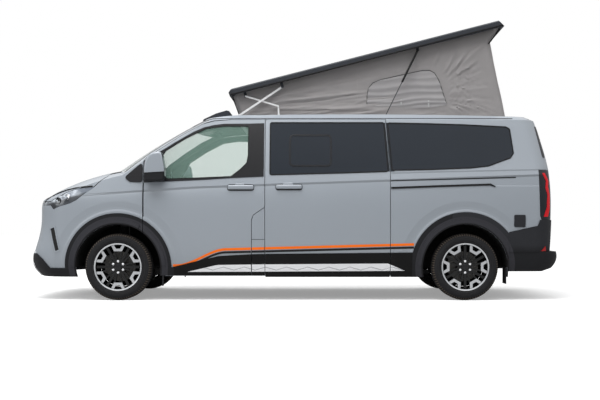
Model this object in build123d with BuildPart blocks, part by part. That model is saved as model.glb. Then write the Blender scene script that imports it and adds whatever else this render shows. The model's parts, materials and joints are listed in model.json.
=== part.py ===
from build123d import *
import os
from math import atan2, cos, degrees, hypot, radians, sin, sqrt

os.makedirs("parts", exist_ok=True)

# Camper van with a raised roof, standing on its wheels. Millimetres, +Z up, ground at Z = 0.
# The van's front points to -X, its left side to -Y, and X = 0 is the middle of its length.

# ---------------------------------------------------------------- driving dimensions
FRONT_AXLE_X = -1765
REAR_AXLE_X = 1735
AXLE_Z = 337
TYRE_R = 337
TYRE_WIDTH = 215
WHEEL_FACE_Y = 978          # tyre's outer side wall from the centre plane
RIM_R = 240
HUB_FACE_Y = 905            # where the rim bolts on
DISC_R = 152
DISC_THICK = 24

SIDE_WALL = 60              # door and side wall thickness
ROOF_WALL = 30
SKIN = 12                   # fender, bonnet and bumper skin
GLASS = 6
CLADDING = 8                # how far the plastic cladding stands proud of the paint
SHUT_GAP = 6
FIT_GAP = 0.4               # between fixed neighbours
BELT_TILT = -2.5            # the side crease rises to the rear by this angle, degrees

ARCH_R = 430
ARCH_TRIM_R = 542
REAR_ARCH_TRIM_R = 552
LINER = 5

ENGINE_SIZE = (560, 640, 420)
GROUND_CLEARANCE = 235

# ---------------------------------------------------------------- body envelope
# Plan outlines from sill to roof. Columns: height, half width, nose x, nose corner radius, tail x,
# tail corner radius.
LOWER_SECTIONS = [
    (GROUND_CLEARANCE, 938, -2628, 330, 2590, 190),
    (500, 990, -2716, 360, 2640, 190),
    (640, 1000, -2672, 360, 2647, 190),
    (800, 1007, -2644, 360, 2652, 190),
    (1160, 1000, -2545, 360, 2640, 190),
]
UPPER_SECTIONS = [
    (1160, 1000, -2545, 360, 2640, 190),
    (1500, 938, -2120, 300, 2602, 190),
    (1832, 862, -1750, 250, 2510, 190),
]
ROOF_SECTIONS = [
    (1832, 862, -1750, 250, 2510, 190),
    (1885, 785, -1640, 250, 2420, 190),
    (1960, 620, -1540, 250, 2290, 190),
]
CREASE_HEIGHT = 1160
NOSE_BOW = 55
TAIL_BOW = 32
NOSE_TAPER = 78
TAIL_TAPER = 42
STRAIGHT_FROM = -1250
STRAIGHT_TO = 1250

# Side profiles of the bonnet, windscreen and roof at distances from the centre plane.
# Columns: distance, lip z, bonnet z at mid length, cowl x, cowl z, header x, header z, roof z.
TOP_PROFILES = [
    (0, 1058, 1228, -1880, 1335, -980, 1872, 1912),
    (700, 1012, 1186, -1792, 1308, -872, 1862, 1898),
    (1050, 832, 1030, -1690, 1235, -620, 1838, 1846),
]
LIP_X = -2590
BONNET_MID_X = -2240
SCREEN_BULGE = 19
BEYOND = 3200               # past the van on every side


def level(height):
    """Horizontal plane; the one at the crease is tilted with it."""
    if height == CREASE_HEIGHT:
        return Plane.XY.offset(height).rotated((0, BELT_TILT, 0))
    return Plane.XY.offset(height)


def plan_outline(height, half_width, nose_x, nose_radius, tail_x, tail_radius, inset):
    """Closed plan outline of the body at one height, set in by inset."""
    half = half_width - inset
    nose = nose_x + inset
    tail = tail_x - inset
    nose_y = half - NOSE_TAPER
    tail_y = half - TAIL_TAPER
    with BuildSketch(level(height)) as outline:
        with BuildLine():
            ThreePointArc((nose + NOSE_BOW, nose_y), (nose, 0), (nose + NOSE_BOW, -nose_y))
            TangentArc((STRAIGHT_FROM, -half), (nose + NOSE_BOW, -nose_y), tangent=(-1, 0))
            Line((STRAIGHT_FROM, -half), (STRAIGHT_TO, -half))
            TangentArc((STRAIGHT_TO, -half), (tail - TAIL_BOW, -tail_y), tangent=(1, 0))
            ThreePointArc((tail - TAIL_BOW, -tail_y), (tail, 0), (tail - TAIL_BOW, tail_y))
            TangentArc((STRAIGHT_TO, half), (tail - TAIL_BOW, tail_y), tangent=(1, 0))
            Line((STRAIGHT_TO, half), (STRAIGHT_FROM, half))
            TangentArc((STRAIGHT_FROM, half), (nose + NOSE_BOW, nose_y), tangent=(-1, 0))
        make_face()
        fillet(outline.vertices().sort_by(Axis.X)[:2], nose_radius - inset)
        fillet(outline.vertices().sort_by(Axis.X)[-2:], tail_radius - inset)
    return outline.sketch


def top_profile(side, columns, inset):
    """Side profile under the bonnet, windscreen and roof surfaces, lowered by inset."""
    distance, lip_z, bonnet_z, cowl_x, cowl_z, header_x, header_z, roof_z = columns
    lean_x = 0.5 * inset
    lean_z = 0.86 * inset
    cowl = (cowl_x + lean_x, cowl_z - lean_z)
    header = (header_x + lean_x, header_z - inset)
    middle = ((cowl[0] + header[0] - SCREEN_BULGE) / 2, (cowl[1] + header[1]) / 2 + SCREEN_BULGE)
    crown = (header_x + 420, roof_z - 4 - inset)
    with BuildSketch(Plane.XZ.offset(side * distance)) as profile:
        with BuildLine():
            Polyline((-BEYOND, 100), (-BEYOND, lip_z - 250 - inset), (LIP_X, lip_z - inset))
            ThreePointArc((LIP_X, lip_z - inset), (BONNET_MID_X, bonnet_z - inset), cowl)
            ThreePointArc(cowl, middle, header)
            ThreePointArc(header, (header_x + 190, (header_z + 2.4 * roof_z) / 3.4 - inset), crown)
            ThreePointArc(crown, (900, roof_z + 4 - inset), (2500, roof_z - 26 - inset))
            Polyline((2500, roof_z - 26 - inset), (BEYOND, roof_z - 60 - inset), (BEYOND, 100))
            Line((BEYOND, 100), (-BEYOND, 100))
        make_face()
    return profile.sketch


def envelope(inset, top_inset):
    """Solid of the whole body set in by inset at the sides and by top_inset above."""
    with BuildPart() as body:
        for sections in (LOWER_SECTIONS, UPPER_SECTIONS, ROOF_SECTIONS):
            loft(sections=[plan_outline(*row, inset) for row in sections])
        far_side = [top_profile(-1, row, top_inset) for row in reversed(TOP_PROFILES[1:])]
        near_side = [top_profile(1, row, top_inset) for row in TOP_PROFILES]
        loft(sections=far_side + near_side, mode=Mode.INTERSECT)
    return body.part


outer = envelope(0, 0)
glass_inner = envelope(GLASS, GLASS)
skin_inner = envelope(SKIN, SKIN)
cabin = envelope(SIDE_WALL, ROOF_WALL)
clad_outer = envelope(-CLADDING, -CLADDING)

with BuildPart() as wall_maker:
    add(outer)
    add(cabin, mode=Mode.SUBTRACT)
wall = wall_maker.part      # doors, sides, roof and tailgate are cut from this

with BuildPart() as skin_maker:
    add(outer)
    add(skin_inner, mode=Mode.SUBTRACT)
thin_skin = skin_maker.part  # fenders, bonnet and bumper skin

with BuildPart() as pane_maker:
    add(outer)
    add(glass_inner, mode=Mode.SUBTRACT)
pane = pane_maker.part      # all glass

with BuildPart() as cladding_maker:
    add(clad_outer)
    add(outer, mode=Mode.SUBTRACT)
clad_shell = cladding_maker.part

# ---------------------------------------------------------------- outlines seen from the side (x, z)
DOOR_FRONT_X = -1505
DOOR_REAR_X = -286
SLIDER_REAR_X = 975
DOOR_BOTTOM_Z = 250
DOOR_TOP_Z = 1832
FLAP_X = -420               # filler panel between the doors
BONNET_REAR_X = -1893
TAILGATE_Z = 692
TAILGATE_FROM_X = 2396
BUMPER_X = 2172
BUMPER_TOP_Z = 690
CLAD_TOP_Z = 470
BUMPER_HORN = [(BUMPER_X, BUMPER_TOP_Z), (2462, 752), (2486, 812.4)]      # top edge of the rear bumper

FRONT_DOOR = [
    (DOOR_FRONT_X, DOOR_BOTTOM_Z), (DOOR_FRONT_X, 1404), (-1488, 1438), (-1318, 1548), (-1120, 1678),
    (-925, 1783), (-800, 1816), (-640, DOOR_TOP_Z - 3), (DOOR_REAR_X, DOOR_TOP_Z), (DOOR_REAR_X, 940),
    (-400, 862), (FLAP_X, 812), (FLAP_X, DOOR_BOTTOM_Z),
]
SLIDER_FRONT_X = DOOR_REAR_X + SHUT_GAP
SLIDING_DOOR = [
    (SLIDER_FRONT_X, DOOR_BOTTOM_Z), (SLIDER_FRONT_X, DOOR_TOP_Z), (SLIDER_REAR_X - 40, DOOR_TOP_Z),
    (SLIDER_REAR_X, 1300), (SLIDER_REAR_X, DOOR_BOTTOM_Z),
]
FILLER_PANEL = [
    (FLAP_X + SHUT_GAP, DOOR_BOTTOM_Z), (FLAP_X + SHUT_GAP, 808), (-396, 858),
    (SLIDER_FRONT_X - SHUT_GAP, 932), (SLIDER_FRONT_X - SHUT_GAP, DOOR_BOTTOM_Z),
]
QUARTER = [
    (SLIDER_REAR_X + SHUT_GAP, DOOR_BOTTOM_Z), (SLIDER_REAR_X + SHUT_GAP, 1300),
    (SLIDER_REAR_X - 40 + SHUT_GAP, DOOR_TOP_Z + 4), (BEYOND, DOOR_TOP_Z + 4), (BEYOND, BUMPER_HORN[-1][1]),
    *BUMPER_HORN[::-1], (BUMPER_X, DOOR_BOTTOM_Z),
]
BONNET_LINE = [
    (-BEYOND, 985), (-2460, 1002), (-2400, 1033), (-2300, 1092), (-2200, 1123), (-2100, 1141),
    (-2008, 1149), (BONNET_REAR_X, 1258),
]
LAMP_LOWER = [
    (-BEYOND, 958), (-2458, 958), (-2424, 918), (-2350, 948), (-2250, 975), (-2180, 1010), (-2100, 1075),
    (-2004, 1138),
]
FENDER_SEAM = [(-2180, 1010), (-2066, 838), (-1996, 692)]
FENDER_TOP_Z = 1262
COWL_HALF = 790
SCREEN_EDGE = [(-1880, 1340), (-1700, 1292), (-1500, 1462), (-1322, 1584), (-1120, 1710), (-930, 1806),
               (-860, 1826)]
SCREEN_BEYOND = [(-985, 1885), (-1100, 2100), (-2100, 2100)]
TAIL_LAMP = [(2474, 1318), (2486, 850), (2502, 812), (BEYOND, 812), (BEYOND, 1318)]
TAIL_LAMP_Y = 826
TAILGATE_HALF = [(0, TAILGATE_Z), (802, TAILGATE_Z), (814, 1300), (742, 1848), (0, 1866)]

DOOR_GLASS = [(-1442, 1262), (-1250, 1218), (-1010, 1226), (-622, 1242), (-532, 1312), (-462, 1382),
              (-448, 1460), (-446, 1766), (-700, 1770), (-880, 1745), (-1090, 1640), (-1290, 1512)]
SLIDER_GLASS = [(-238, 1258), (500, 1277), (963, 1292), (925, 1806), (-238, 1806)]
QUARTER_GLASS = [(991, 1304), (1400, 1312), (1790, 1328), (1970, 1348), (2197, 1432), (2234, 1484),
                 (2206, 1740), (2165, 1764), (1700, 1786), (1300, 1797), (953, 1803)]
WINDOW_ROUND = 24


def side_prism(points, near=0, far=BEYOND, grow=0, rounding=0):
    """Prism on the van's left half with an outline seen from the side."""
    with BuildPart() as prism:
        with BuildSketch(Plane.XZ.offset(near)) as outline:
            with BuildLine():
                Polyline(*points, close=True)
            make_face()
            if grow:
                offset(amount=grow, kind=Kind.INTERSECTION)
            if rounding:
                fillet(outline.vertices(), rounding)
        extrude(amount=far - near)
    return prism.part


def whole_prism(points, grow=0):
    """Prism right across the van with an outline seen from the side."""
    with BuildPart() as prism:
        with BuildSketch(Plane.XZ) as outline:
            with BuildLine():
                Polyline(*points, close=True)
            make_face()
            if grow:
                offset(amount=grow, kind=Kind.INTERSECTION)
        extrude(amount=BEYOND, both=True)
    return prism.part


def rear_prism(points, from_x, to_x, grow=0):
    """Prism along X with a half outline (|y|, z), mirrored to both sides."""
    with BuildPart() as prism:
        with BuildSketch(Plane.YZ.offset(from_x)):
            with BuildLine():
                Polyline(*points, close=True)
            make_face()
            mirror(about=Plane.YZ)
            if grow:
                offset(amount=grow, kind=Kind.INTERSECTION)
        extrude(amount=to_x - from_x)
    return prism.part


def wheel_cylinder(axle_x, radius, near, far):
    """Cylinder about an axle on the left half."""
    with BuildPart() as cylinder:
        with BuildSketch(Plane.XZ.offset(near)):
            with Locations((axle_x, AXLE_Z)):
                Circle(radius)
        extrude(amount=far - near)
    return cylinder.part


def block(x0, x1, y0, y1, z0, z1):
    """Box between two corners."""
    with BuildPart() as box:
        with Locations(((x0 + x1) / 2, (y0 + y1) / 2, (z0 + z1) / 2)):
            Box(x1 - x0, y1 - y0, z1 - z0)
    return box.part


def on_both_sides(left):
    """The left piece and its mirror image on the right."""
    with BuildPart() as pair:
        add(left)
        mirror(left, about=Plane.XZ)
    return pair.part


def save(builder, name):
    """Label a finished piece and write it."""
    builder.part.label = name
    export_step(builder.part, f"parts/{name}.step")


front_arch = wheel_cylinder(FRONT_AXLE_X, ARCH_R, 500, BEYOND)
rear_arch = wheel_cylinder(REAR_AXLE_X, ARCH_R, 500, BEYOND)

# ---------------------------------------------------------------- front doors
with BuildPart() as door_left:
    add(wall)
    add(side_prism(FRONT_DOOR), mode=Mode.INTERSECT)
    add(front_arch, mode=Mode.SUBTRACT)
    add(side_prism(DOOR_GLASS, rounding=WINDOW_ROUND), mode=Mode.SUBTRACT)
save(door_left, "door_left")

with BuildPart() as door_right:
    mirror(door_left.part, about=Plane.XZ)
save(door_right, "door_right")

with BuildPart() as door_glass_left:
    add(pane)
    add(side_prism(DOOR_GLASS, rounding=WINDOW_ROUND), mode=Mode.INTERSECT)
save(door_glass_left, "door_glass_left")

with BuildPart() as door_glass_right:
    mirror(door_glass_left.part, about=Plane.XZ)
save(door_glass_right, "door_glass_right")

MIRROR_PROFILE = [
    (-1462, 1196), (-1470, 1240), (-1468, 1330), (-1456, 1400), (-1430, 1448), (-1395, 1472), (-1330, 1484),
    (-1306, 1474), (-1292, 1440), (-1272, 1320), (-1270, 1240), (-1285, 1204), (-1340, 1194),
]
MIRROR_Y = (1010, 1135)
MIRROR_ARM_Z = (1205, 1290)
with BuildPart() as door_trim_left:
    with BuildPart(mode=Mode.PRIVATE) as door_cladding:
        add(clad_shell)
        add(side_prism(FRONT_DOOR), mode=Mode.INTERSECT)
        with BuildSketch(Plane.XZ) as covered:
            with Locations((FRONT_AXLE_X, AXLE_Z)):
                Circle(ARCH_TRIM_R)
            with BuildLine():
                Polyline((-1700, 200), (FLAP_X, 200), (FLAP_X, CLAD_TOP_Z - 4), (-750, 448), (-1240, 330), close=True)
            make_face()
        extrude(amount=BEYOND, mode=Mode.INTERSECT)
        add(front_arch, mode=Mode.SUBTRACT)
    with BuildPart(mode=Mode.PRIVATE) as mirror_head:
        with BuildSketch(Plane.XZ.offset(MIRROR_Y[0])):
            with BuildLine():
                Polyline(*MIRROR_PROFILE, close=True)
            make_face()
        extrude(amount=MIRROR_Y[1] - MIRROR_Y[0])
        fillet(mirror_head.faces().sort_by(Axis.Y)[0].edges(), 18)
    with BuildPart(mode=Mode.PRIVATE) as mirror_arm:
        add(block(-1440, -1340, -1060, -940, *MIRROR_ARM_Z))
        add(outer, mode=Mode.SUBTRACT)
    add(door_cladding.part)
    add(mirror_head.part)
    add(mirror_arm.part)
save(door_trim_left, "door_trim_left")

with BuildPart() as door_trim_right:
    mirror(door_trim_left.part, about=Plane.XZ)
save(door_trim_right, "door_trim_right")

# ---------------------------------------------------------------- sliding doors
with BuildPart() as sliding_door_left:
    add(wall)
    add(side_prism(SLIDING_DOOR), mode=Mode.INTERSECT)
    add(side_prism(SLIDER_GLASS, rounding=WINDOW_ROUND), mode=Mode.SUBTRACT)
save(sliding_door_left, "sliding_door_left")

with BuildPart() as sliding_door_right:
    mirror(sliding_door_left.part, about=Plane.XZ)
save(sliding_door_right, "sliding_door_right")

# ---------------------------------------------------------------- fixed body
POST_LINE = [(884, 300), (944, 750), (936, 1150), (866, 1500), (800, 1800)]
POST_DEPTH = 45


def post(from_x, to_x, low_z, high_z):
    """Upright post behind the doors on the left side."""
    inner_line = [(y - POST_DEPTH, z) for y, z in reversed(POST_LINE)]
    with BuildPart() as upright:
        with BuildSketch(Plane.YZ.offset(from_x)):
            with BuildLine():
                Polyline(*[(-y, z) for y, z in POST_LINE + inner_line], close=True)
            make_face()
        extrude(amount=to_x - from_x)
        add(block(from_x, to_x, -BEYOND, 0, low_z, high_z), mode=Mode.INTERSECT)
    return upright.part


SILL_INNER_Y = 822
SILL_OUTER_Y = 880
SILL_Z = (GROUND_CLEARANCE + 8, 395)
tail_lamp_space = side_prism(TAIL_LAMP, near=TAIL_LAMP_Y - 4, grow=FIT_GAP)
tailgate_space = rear_prism(TAILGATE_HALF, TAILGATE_FROM_X - SHUT_GAP, BEYOND, grow=SHUT_GAP)

with BuildPart() as body_side_left:
    add(wall)
    add(side_prism(QUARTER, near=300), mode=Mode.INTERSECT)
    add(side_prism(QUARTER_GLASS, rounding=WINDOW_ROUND), mode=Mode.SUBTRACT)
    add(rear_arch, mode=Mode.SUBTRACT)
    add(tail_lamp_space, mode=Mode.SUBTRACT)
    add(tailgate_space, mode=Mode.SUBTRACT)
    with BuildPart(mode=Mode.PRIVATE) as filler_block:
        add(outer)
        add(side_prism(FILLER_PANEL, near=SILL_OUTER_Y), mode=Mode.INTERSECT)
    add(filler_block.part)
    add(post(-385, -200, 300, 1800))
    add(post(SLIDER_REAR_X - 60, SLIDER_REAR_X + 40, 300, 1800))
    add(block(-1300, REAR_AXLE_X - ARCH_R - 14, -SILL_OUTER_Y, -SILL_INNER_Y, *SILL_Z))
save(body_side_left, "body_side_left")

with BuildPart() as body_side_right:
    mirror(body_side_left.part, about=Plane.XZ)
save(body_side_right, "body_side_right")

# roof panel with the screen header and pillars
OPENING_X = (-600, 2240)
OPENING_HALF = 738
roof_region = [
    (-1700, FENDER_TOP_Z), (DOOR_FRONT_X - SHUT_GAP, FENDER_TOP_Z), (DOOR_FRONT_X - SHUT_GAP, 1408), (-1490, 1446), (-1320, 1556),
    (-1122, 1686), (-927, 1791), (-800, 1824), (-640, DOOR_TOP_Z + 4), (BEYOND, DOOR_TOP_Z + 4),
    (BEYOND, 2200), (-1700, 2200),
]
with BuildPart() as roof_panel:
    add(wall)
    add(whole_prism(roof_region), mode=Mode.INTERSECT)
    add(whole_prism(SCREEN_EDGE + SCREEN_BEYOND, grow=FIT_GAP), mode=Mode.SUBTRACT)
    add(block(OPENING_X[0], OPENING_X[1], -OPENING_HALF, OPENING_HALF, 1500, 2300), mode=Mode.SUBTRACT)
    add(tailgate_space, mode=Mode.SUBTRACT)
save(roof_panel, "roof_panel")

with BuildPart() as windscreen:
    add(pane)
    add(whole_prism(SCREEN_EDGE + SCREEN_BEYOND), mode=Mode.INTERSECT)
    add(block(-BEYOND, BONNET_REAR_X + 60, -BEYOND, BEYOND, 0, BEYOND), mode=Mode.SUBTRACT)
save(windscreen, "windscreen")

with BuildPart() as privacy_glass:
    add(pane)
    with BuildPart(mode=Mode.PRIVATE) as window_space:
        add(side_prism(SLIDER_GLASS, rounding=WINDOW_ROUND))
        add(side_prism(QUARTER_GLASS, rounding=WINDOW_ROUND))
        mirror(about=Plane.XZ)
    add(window_space.part, mode=Mode.INTERSECT)
save(privacy_glass, "privacy_glass")

fender_region = (
    [(DOOR_FRONT_X - SHUT_GAP, FENDER_TOP_Z), (DOOR_FRONT_X - SHUT_GAP, 640)]
    + FENDER_SEAM[::-1]
    + LAMP_LOWER[6:]
    + [(-2002, 1143), (BONNET_REAR_X + SHUT_GAP, 1252), (BONNET_REAR_X + SHUT_GAP, 1400), (-1700, 1400),
       (-1700, FENDER_TOP_Z)]
)
screen_space = whole_prism(SCREEN_EDGE + SCREEN_BEYOND, grow=FIT_GAP)
with BuildPart() as fenders:
    with BuildPart(mode=Mode.PRIVATE) as fender:
        add(thin_skin)
        add(side_prism(fender_region, near=COWL_HALF, grow=-FIT_GAP / 2), mode=Mode.INTERSECT)
        add(front_arch, mode=Mode.SUBTRACT)
        add(screen_space, mode=Mode.SUBTRACT)
    add(on_both_sides(fender.part))
save(fenders, "fenders")

with BuildPart() as cowl:
    add(thin_skin)
    cowl_outline = [(BONNET_REAR_X + SHUT_GAP, 1150), (BONNET_REAR_X + SHUT_GAP, 1400), (-1700, 1400), (-1700, 1150)]
    add(whole_prism(cowl_outline), mode=Mode.INTERSECT)
    add(block(-BEYOND, BEYOND, -COWL_HALF + FIT_GAP, COWL_HALF - FIT_GAP, 0, BEYOND), mode=Mode.INTERSECT)
    add(screen_space, mode=Mode.SUBTRACT)
save(cowl, "cowl")

with BuildPart() as bonnet:
    add(thin_skin)
    bonnet_outline = BONNET_LINE + [(BONNET_REAR_X, 1600), (-BEYOND, 1600)]
    add(whole_prism(bonnet_outline), mode=Mode.INTERSECT)
save(bonnet, "bonnet")

LAMP_INNER_Y = 566
lamp_region = [(x, z - SHUT_GAP) for x, z in BONNET_LINE[:-1]] + LAMP_LOWER[::-1]
with BuildPart() as headlamps:
    with BuildPart(mode=Mode.PRIVATE) as headlamp:
        add(wall)
        add(side_prism(lamp_region, near=LAMP_INNER_Y, grow=-FIT_GAP), mode=Mode.INTERSECT)
    add(on_both_sides(headlamp.part))
save(headlamps, "headlamps")

GRILLE_OUTLINE = [(0, 742), (520, 742), (552, 956), (0, 956)]
INTAKE_OUTLINE = [(0, 318), (600, 318), (660, 452), (0, 452)]
GRILLE_BARS = 5
INTAKE_BARS = 3
BAR_GAP = 16
grille_space = rear_prism(GRILLE_OUTLINE, -BEYOND, -2350, grow=FIT_GAP)
intake_space = rear_prism(INTAKE_OUTLINE, -BEYOND, -2350, grow=FIT_GAP)
nose_region = (
    [(-BEYOND, 200), (-2176, 200), (-2000, 337)]
    + FENDER_SEAM[::-1]
    + LAMP_LOWER[4:0:-1]
    + [(-2458, 979), (-BEYOND, 979)]
)
with BuildPart() as front_bumper:
    add(thin_skin)
    add(whole_prism(nose_region, grow=-FIT_GAP / 2), mode=Mode.INTERSECT)
    add(front_arch, mode=Mode.SUBTRACT)
    mirror(front_arch, about=Plane.XZ, mode=Mode.SUBTRACT)
    add(on_both_sides(side_prism(lamp_region, near=LAMP_INNER_Y - FIT_GAP)), mode=Mode.SUBTRACT)
    add(grille_space, mode=Mode.SUBTRACT)
    add(intake_space, mode=Mode.SUBTRACT)
save(front_bumper, "front_bumper")


def slots(low_z, high_z, bars, half_width):
    """Row of gaps between the bars of a grille."""
    pitch = (high_z - low_z - BAR_GAP) / bars
    with BuildPart() as gaps:
        with Locations([(-2600, 0, low_z + pitch * (i + 0.5) + BAR_GAP) for i in range(bars)]):
            Box(900, 2 * half_width, BAR_GAP)
    return gaps.part


with BuildPart() as grille:
    with BuildPart(mode=Mode.PRIVATE) as upper_grille:
        add(wall)
        add(rear_prism(GRILLE_OUTLINE, -BEYOND, -2350), mode=Mode.INTERSECT)
        add(slots(742, 956, GRILLE_BARS, 490), mode=Mode.SUBTRACT)
    with BuildPart(mode=Mode.PRIVATE) as intake:
        add(wall)
        add(rear_prism(INTAKE_OUTLINE, -BEYOND, -2350), mode=Mode.INTERSECT)
        add(slots(318, 452, INTAKE_BARS, 570), mode=Mode.SUBTRACT)
    add(upper_grille.part)
    add(intake.part)
save(grille, "grille")

# ---------------------------------------------------------------- rear end
REAR_GLASS_HALF = [(0, 1322), (672, 1322), (640, 1772), (0, 1790)]
with BuildPart() as tailgate:
    add(wall)
    add(rear_prism(TAILGATE_HALF, TAILGATE_FROM_X, BEYOND), mode=Mode.INTERSECT)
    add(rear_prism(REAR_GLASS_HALF, TAILGATE_FROM_X, BEYOND), mode=Mode.SUBTRACT)
save(tailgate, "tailgate")

with BuildPart() as tailgate_glass:
    add(pane)
    add(rear_prism(REAR_GLASS_HALF, TAILGATE_FROM_X, BEYOND), mode=Mode.INTERSECT)
save(tailgate_glass, "tailgate_glass")

with BuildPart() as tail_lamps:
    with BuildPart(mode=Mode.PRIVATE) as tail_lamp:
        add(wall)
        add(side_prism(TAIL_LAMP, near=TAIL_LAMP_Y, far=BEYOND), mode=Mode.INTERSECT)
    add(on_both_sides(tail_lamp.part))
save(tail_lamps, "tail_lamps")

BUMPER_STEP_Z = 490
BUMPER_SECTIONS = [
    (290, 932, -2600, 330, 2640, 190),
    (430, 978, -2600, 330, 2725, 210),
    (BUMPER_STEP_Z, 986, -2600, 330, 2716, 210),
]
BUMPER_WALL = 30
with BuildPart() as rear_bumper:
    loft(sections=[plan_outline(*row, 0) for row in BUMPER_SECTIONS])
    with BuildPart(mode=Mode.PRIVATE) as bumper_upper:
        add(clad_outer)
        horn = [(x, z - 1) for x, z in BUMPER_HORN]
        add(whole_prism([(BUMPER_X, BUMPER_STEP_Z - 1), *horn, (BEYOND, horn[-1][1]), (BEYOND, BUMPER_STEP_Z - 1)]),
            mode=Mode.INTERSECT)
        add(rear_prism(TAILGATE_HALF, TAILGATE_FROM_X - SHUT_GAP, BEYOND, grow=SHUT_GAP), mode=Mode.SUBTRACT)
    add(bumper_upper.part)
    with BuildPart(mode=Mode.PRIVATE) as bumper_hollow:
        loft(sections=[plan_outline(height - drop, *row, BUMPER_WALL)
                       for drop, (height, *row) in zip((50, 20, BUMPER_WALL), BUMPER_SECTIONS)])
    add(bumper_hollow.part, mode=Mode.SUBTRACT)
    add(cabin, mode=Mode.SUBTRACT)
    add(block(-BEYOND, BUMPER_X, -BEYOND, BEYOND, 0, BEYOND), mode=Mode.SUBTRACT)
    add(on_both_sides(rear_arch), mode=Mode.SUBTRACT)
save(rear_bumper, "rear_bumper")

# ---------------------------------------------------------------- plastic cladding and liners
LIP_OUTLINE = [(-BEYOND, 200), (-2185, 200), (-2185, 325), (-2465, 325), (-2548, 418), (-2620, 470), (-BEYOND, 470)]
FLAP_THICK = 8
REAR_FLAP = (2146, 165, AXLE_Z - 4, 770, 936)      # x, low z, high z, inner y, outer y
FRONT_FLAP = (FRONT_AXLE_X + ARCH_R - 0.1, 140, AXLE_Z + 30, 790, 860)


def cladding_piece(points):
    """Part of the cladding shell inside a side outline, left side."""
    with BuildPart() as piece:
        add(clad_shell)
        add(side_prism(points, near=500, grow=-FIT_GAP / 2), mode=Mode.INTERSECT)
        add(front_arch, mode=Mode.SUBTRACT)
        add(rear_arch, mode=Mode.SUBTRACT)
    return piece.part


def arch_trim(axle_x, radius, from_x, to_x):
    """Wide plastic edge round a wheel arch between two stations, left side."""
    with BuildPart() as trim:
        add(clad_shell)
        add(wheel_cylinder(axle_x, radius, 500, BEYOND), mode=Mode.INTERSECT)
        add(wheel_cylinder(axle_x, ARCH_R, 500, BEYOND), mode=Mode.SUBTRACT)
        add(block(from_x, to_x, -BEYOND, 0, 0, BEYOND), mode=Mode.INTERSECT)
    return trim.part


with BuildPart() as side_cladding:
    with BuildPart(mode=Mode.PRIVATE) as left_cladding:
        add(arch_trim(FRONT_AXLE_X, ARCH_TRIM_R, -BEYOND, DOOR_FRONT_X - SHUT_GAP))
        add(cladding_piece(FILLER_PANEL[:1] + [(FLAP_X + SHUT_GAP, CLAD_TOP_Z - 4), (SLIDER_FRONT_X - SHUT_GAP, CLAD_TOP_Z),
                                              FILLER_PANEL[-1]]))
        add(cladding_piece([(SLIDER_FRONT_X, 200), (SLIDER_FRONT_X, CLAD_TOP_Z), (SLIDER_REAR_X, CLAD_TOP_Z + 12),
                            (SLIDER_REAR_X, 200)]))
        add(arch_trim(REAR_AXLE_X, REAR_ARCH_TRIM_R, SLIDER_REAR_X + SHUT_GAP, BUMPER_X - FIT_GAP))
        add(cladding_piece([(SLIDER_REAR_X + SHUT_GAP, 200), (SLIDER_REAR_X + SHUT_GAP, CLAD_TOP_Z + 12),
                            (REAR_AXLE_X - 440, CLAD_TOP_Z + 16), (REAR_AXLE_X - 440, 200)]))
        add(block(REAR_FLAP[0], REAR_FLAP[0] + FLAP_THICK, -REAR_FLAP[4], -REAR_FLAP[3], REAR_FLAP[1], REAR_FLAP[2]))
        add(block(FRONT_FLAP[0], FRONT_FLAP[0] + FLAP_THICK, -FRONT_FLAP[4], -FRONT_FLAP[3], FRONT_FLAP[1],
                  FRONT_FLAP[2]))
    add(on_both_sides(left_cladding.part))
    with BuildPart(mode=Mode.PRIVATE) as lip:
        add(clad_shell)
        add(whole_prism(LIP_OUTLINE), mode=Mode.INTERSECT)
        add(intake_space, mode=Mode.SUBTRACT)
        add(on_both_sides(front_arch), mode=Mode.SUBTRACT)
    add(lip.part)
save(side_cladding, "side_cladding")

LINER_R = ARCH_R - FIT_GAP
FRONT_LINER_Y = (600, 958)
REAR_LINER_Y = (700, 958)
LINER_SIDE_Y = 850          # inboard of the door's swing
with BuildPart() as wheel_liners:
    with BuildPart(mode=Mode.PRIVATE) as left_liners:
        for axle_x, (near, far) in ((FRONT_AXLE_X, FRONT_LINER_Y), (REAR_AXLE_X, REAR_LINER_Y)):
            add(wheel_cylinder(axle_x, LINER_R, near, far))
            add(wheel_cylinder(axle_x, LINER_R - LINER, near + LINER, far), mode=Mode.SUBTRACT)
        add(block(-BEYOND, BEYOND, -BEYOND, 0, -BEYOND, AXLE_Z), mode=Mode.SUBTRACT)
        add(block(DOOR_FRONT_X - 10, 0, -BEYOND, -LINER_SIDE_Y, 0, BEYOND), mode=Mode.SUBTRACT)
        add(block(FRONT_AXLE_X - 52, FRONT_AXLE_X + 52, -680, -500, 0, 756), mode=Mode.SUBTRACT)
    add(on_both_sides(left_liners.part))
save(wheel_liners, "wheel_liners")

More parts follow.
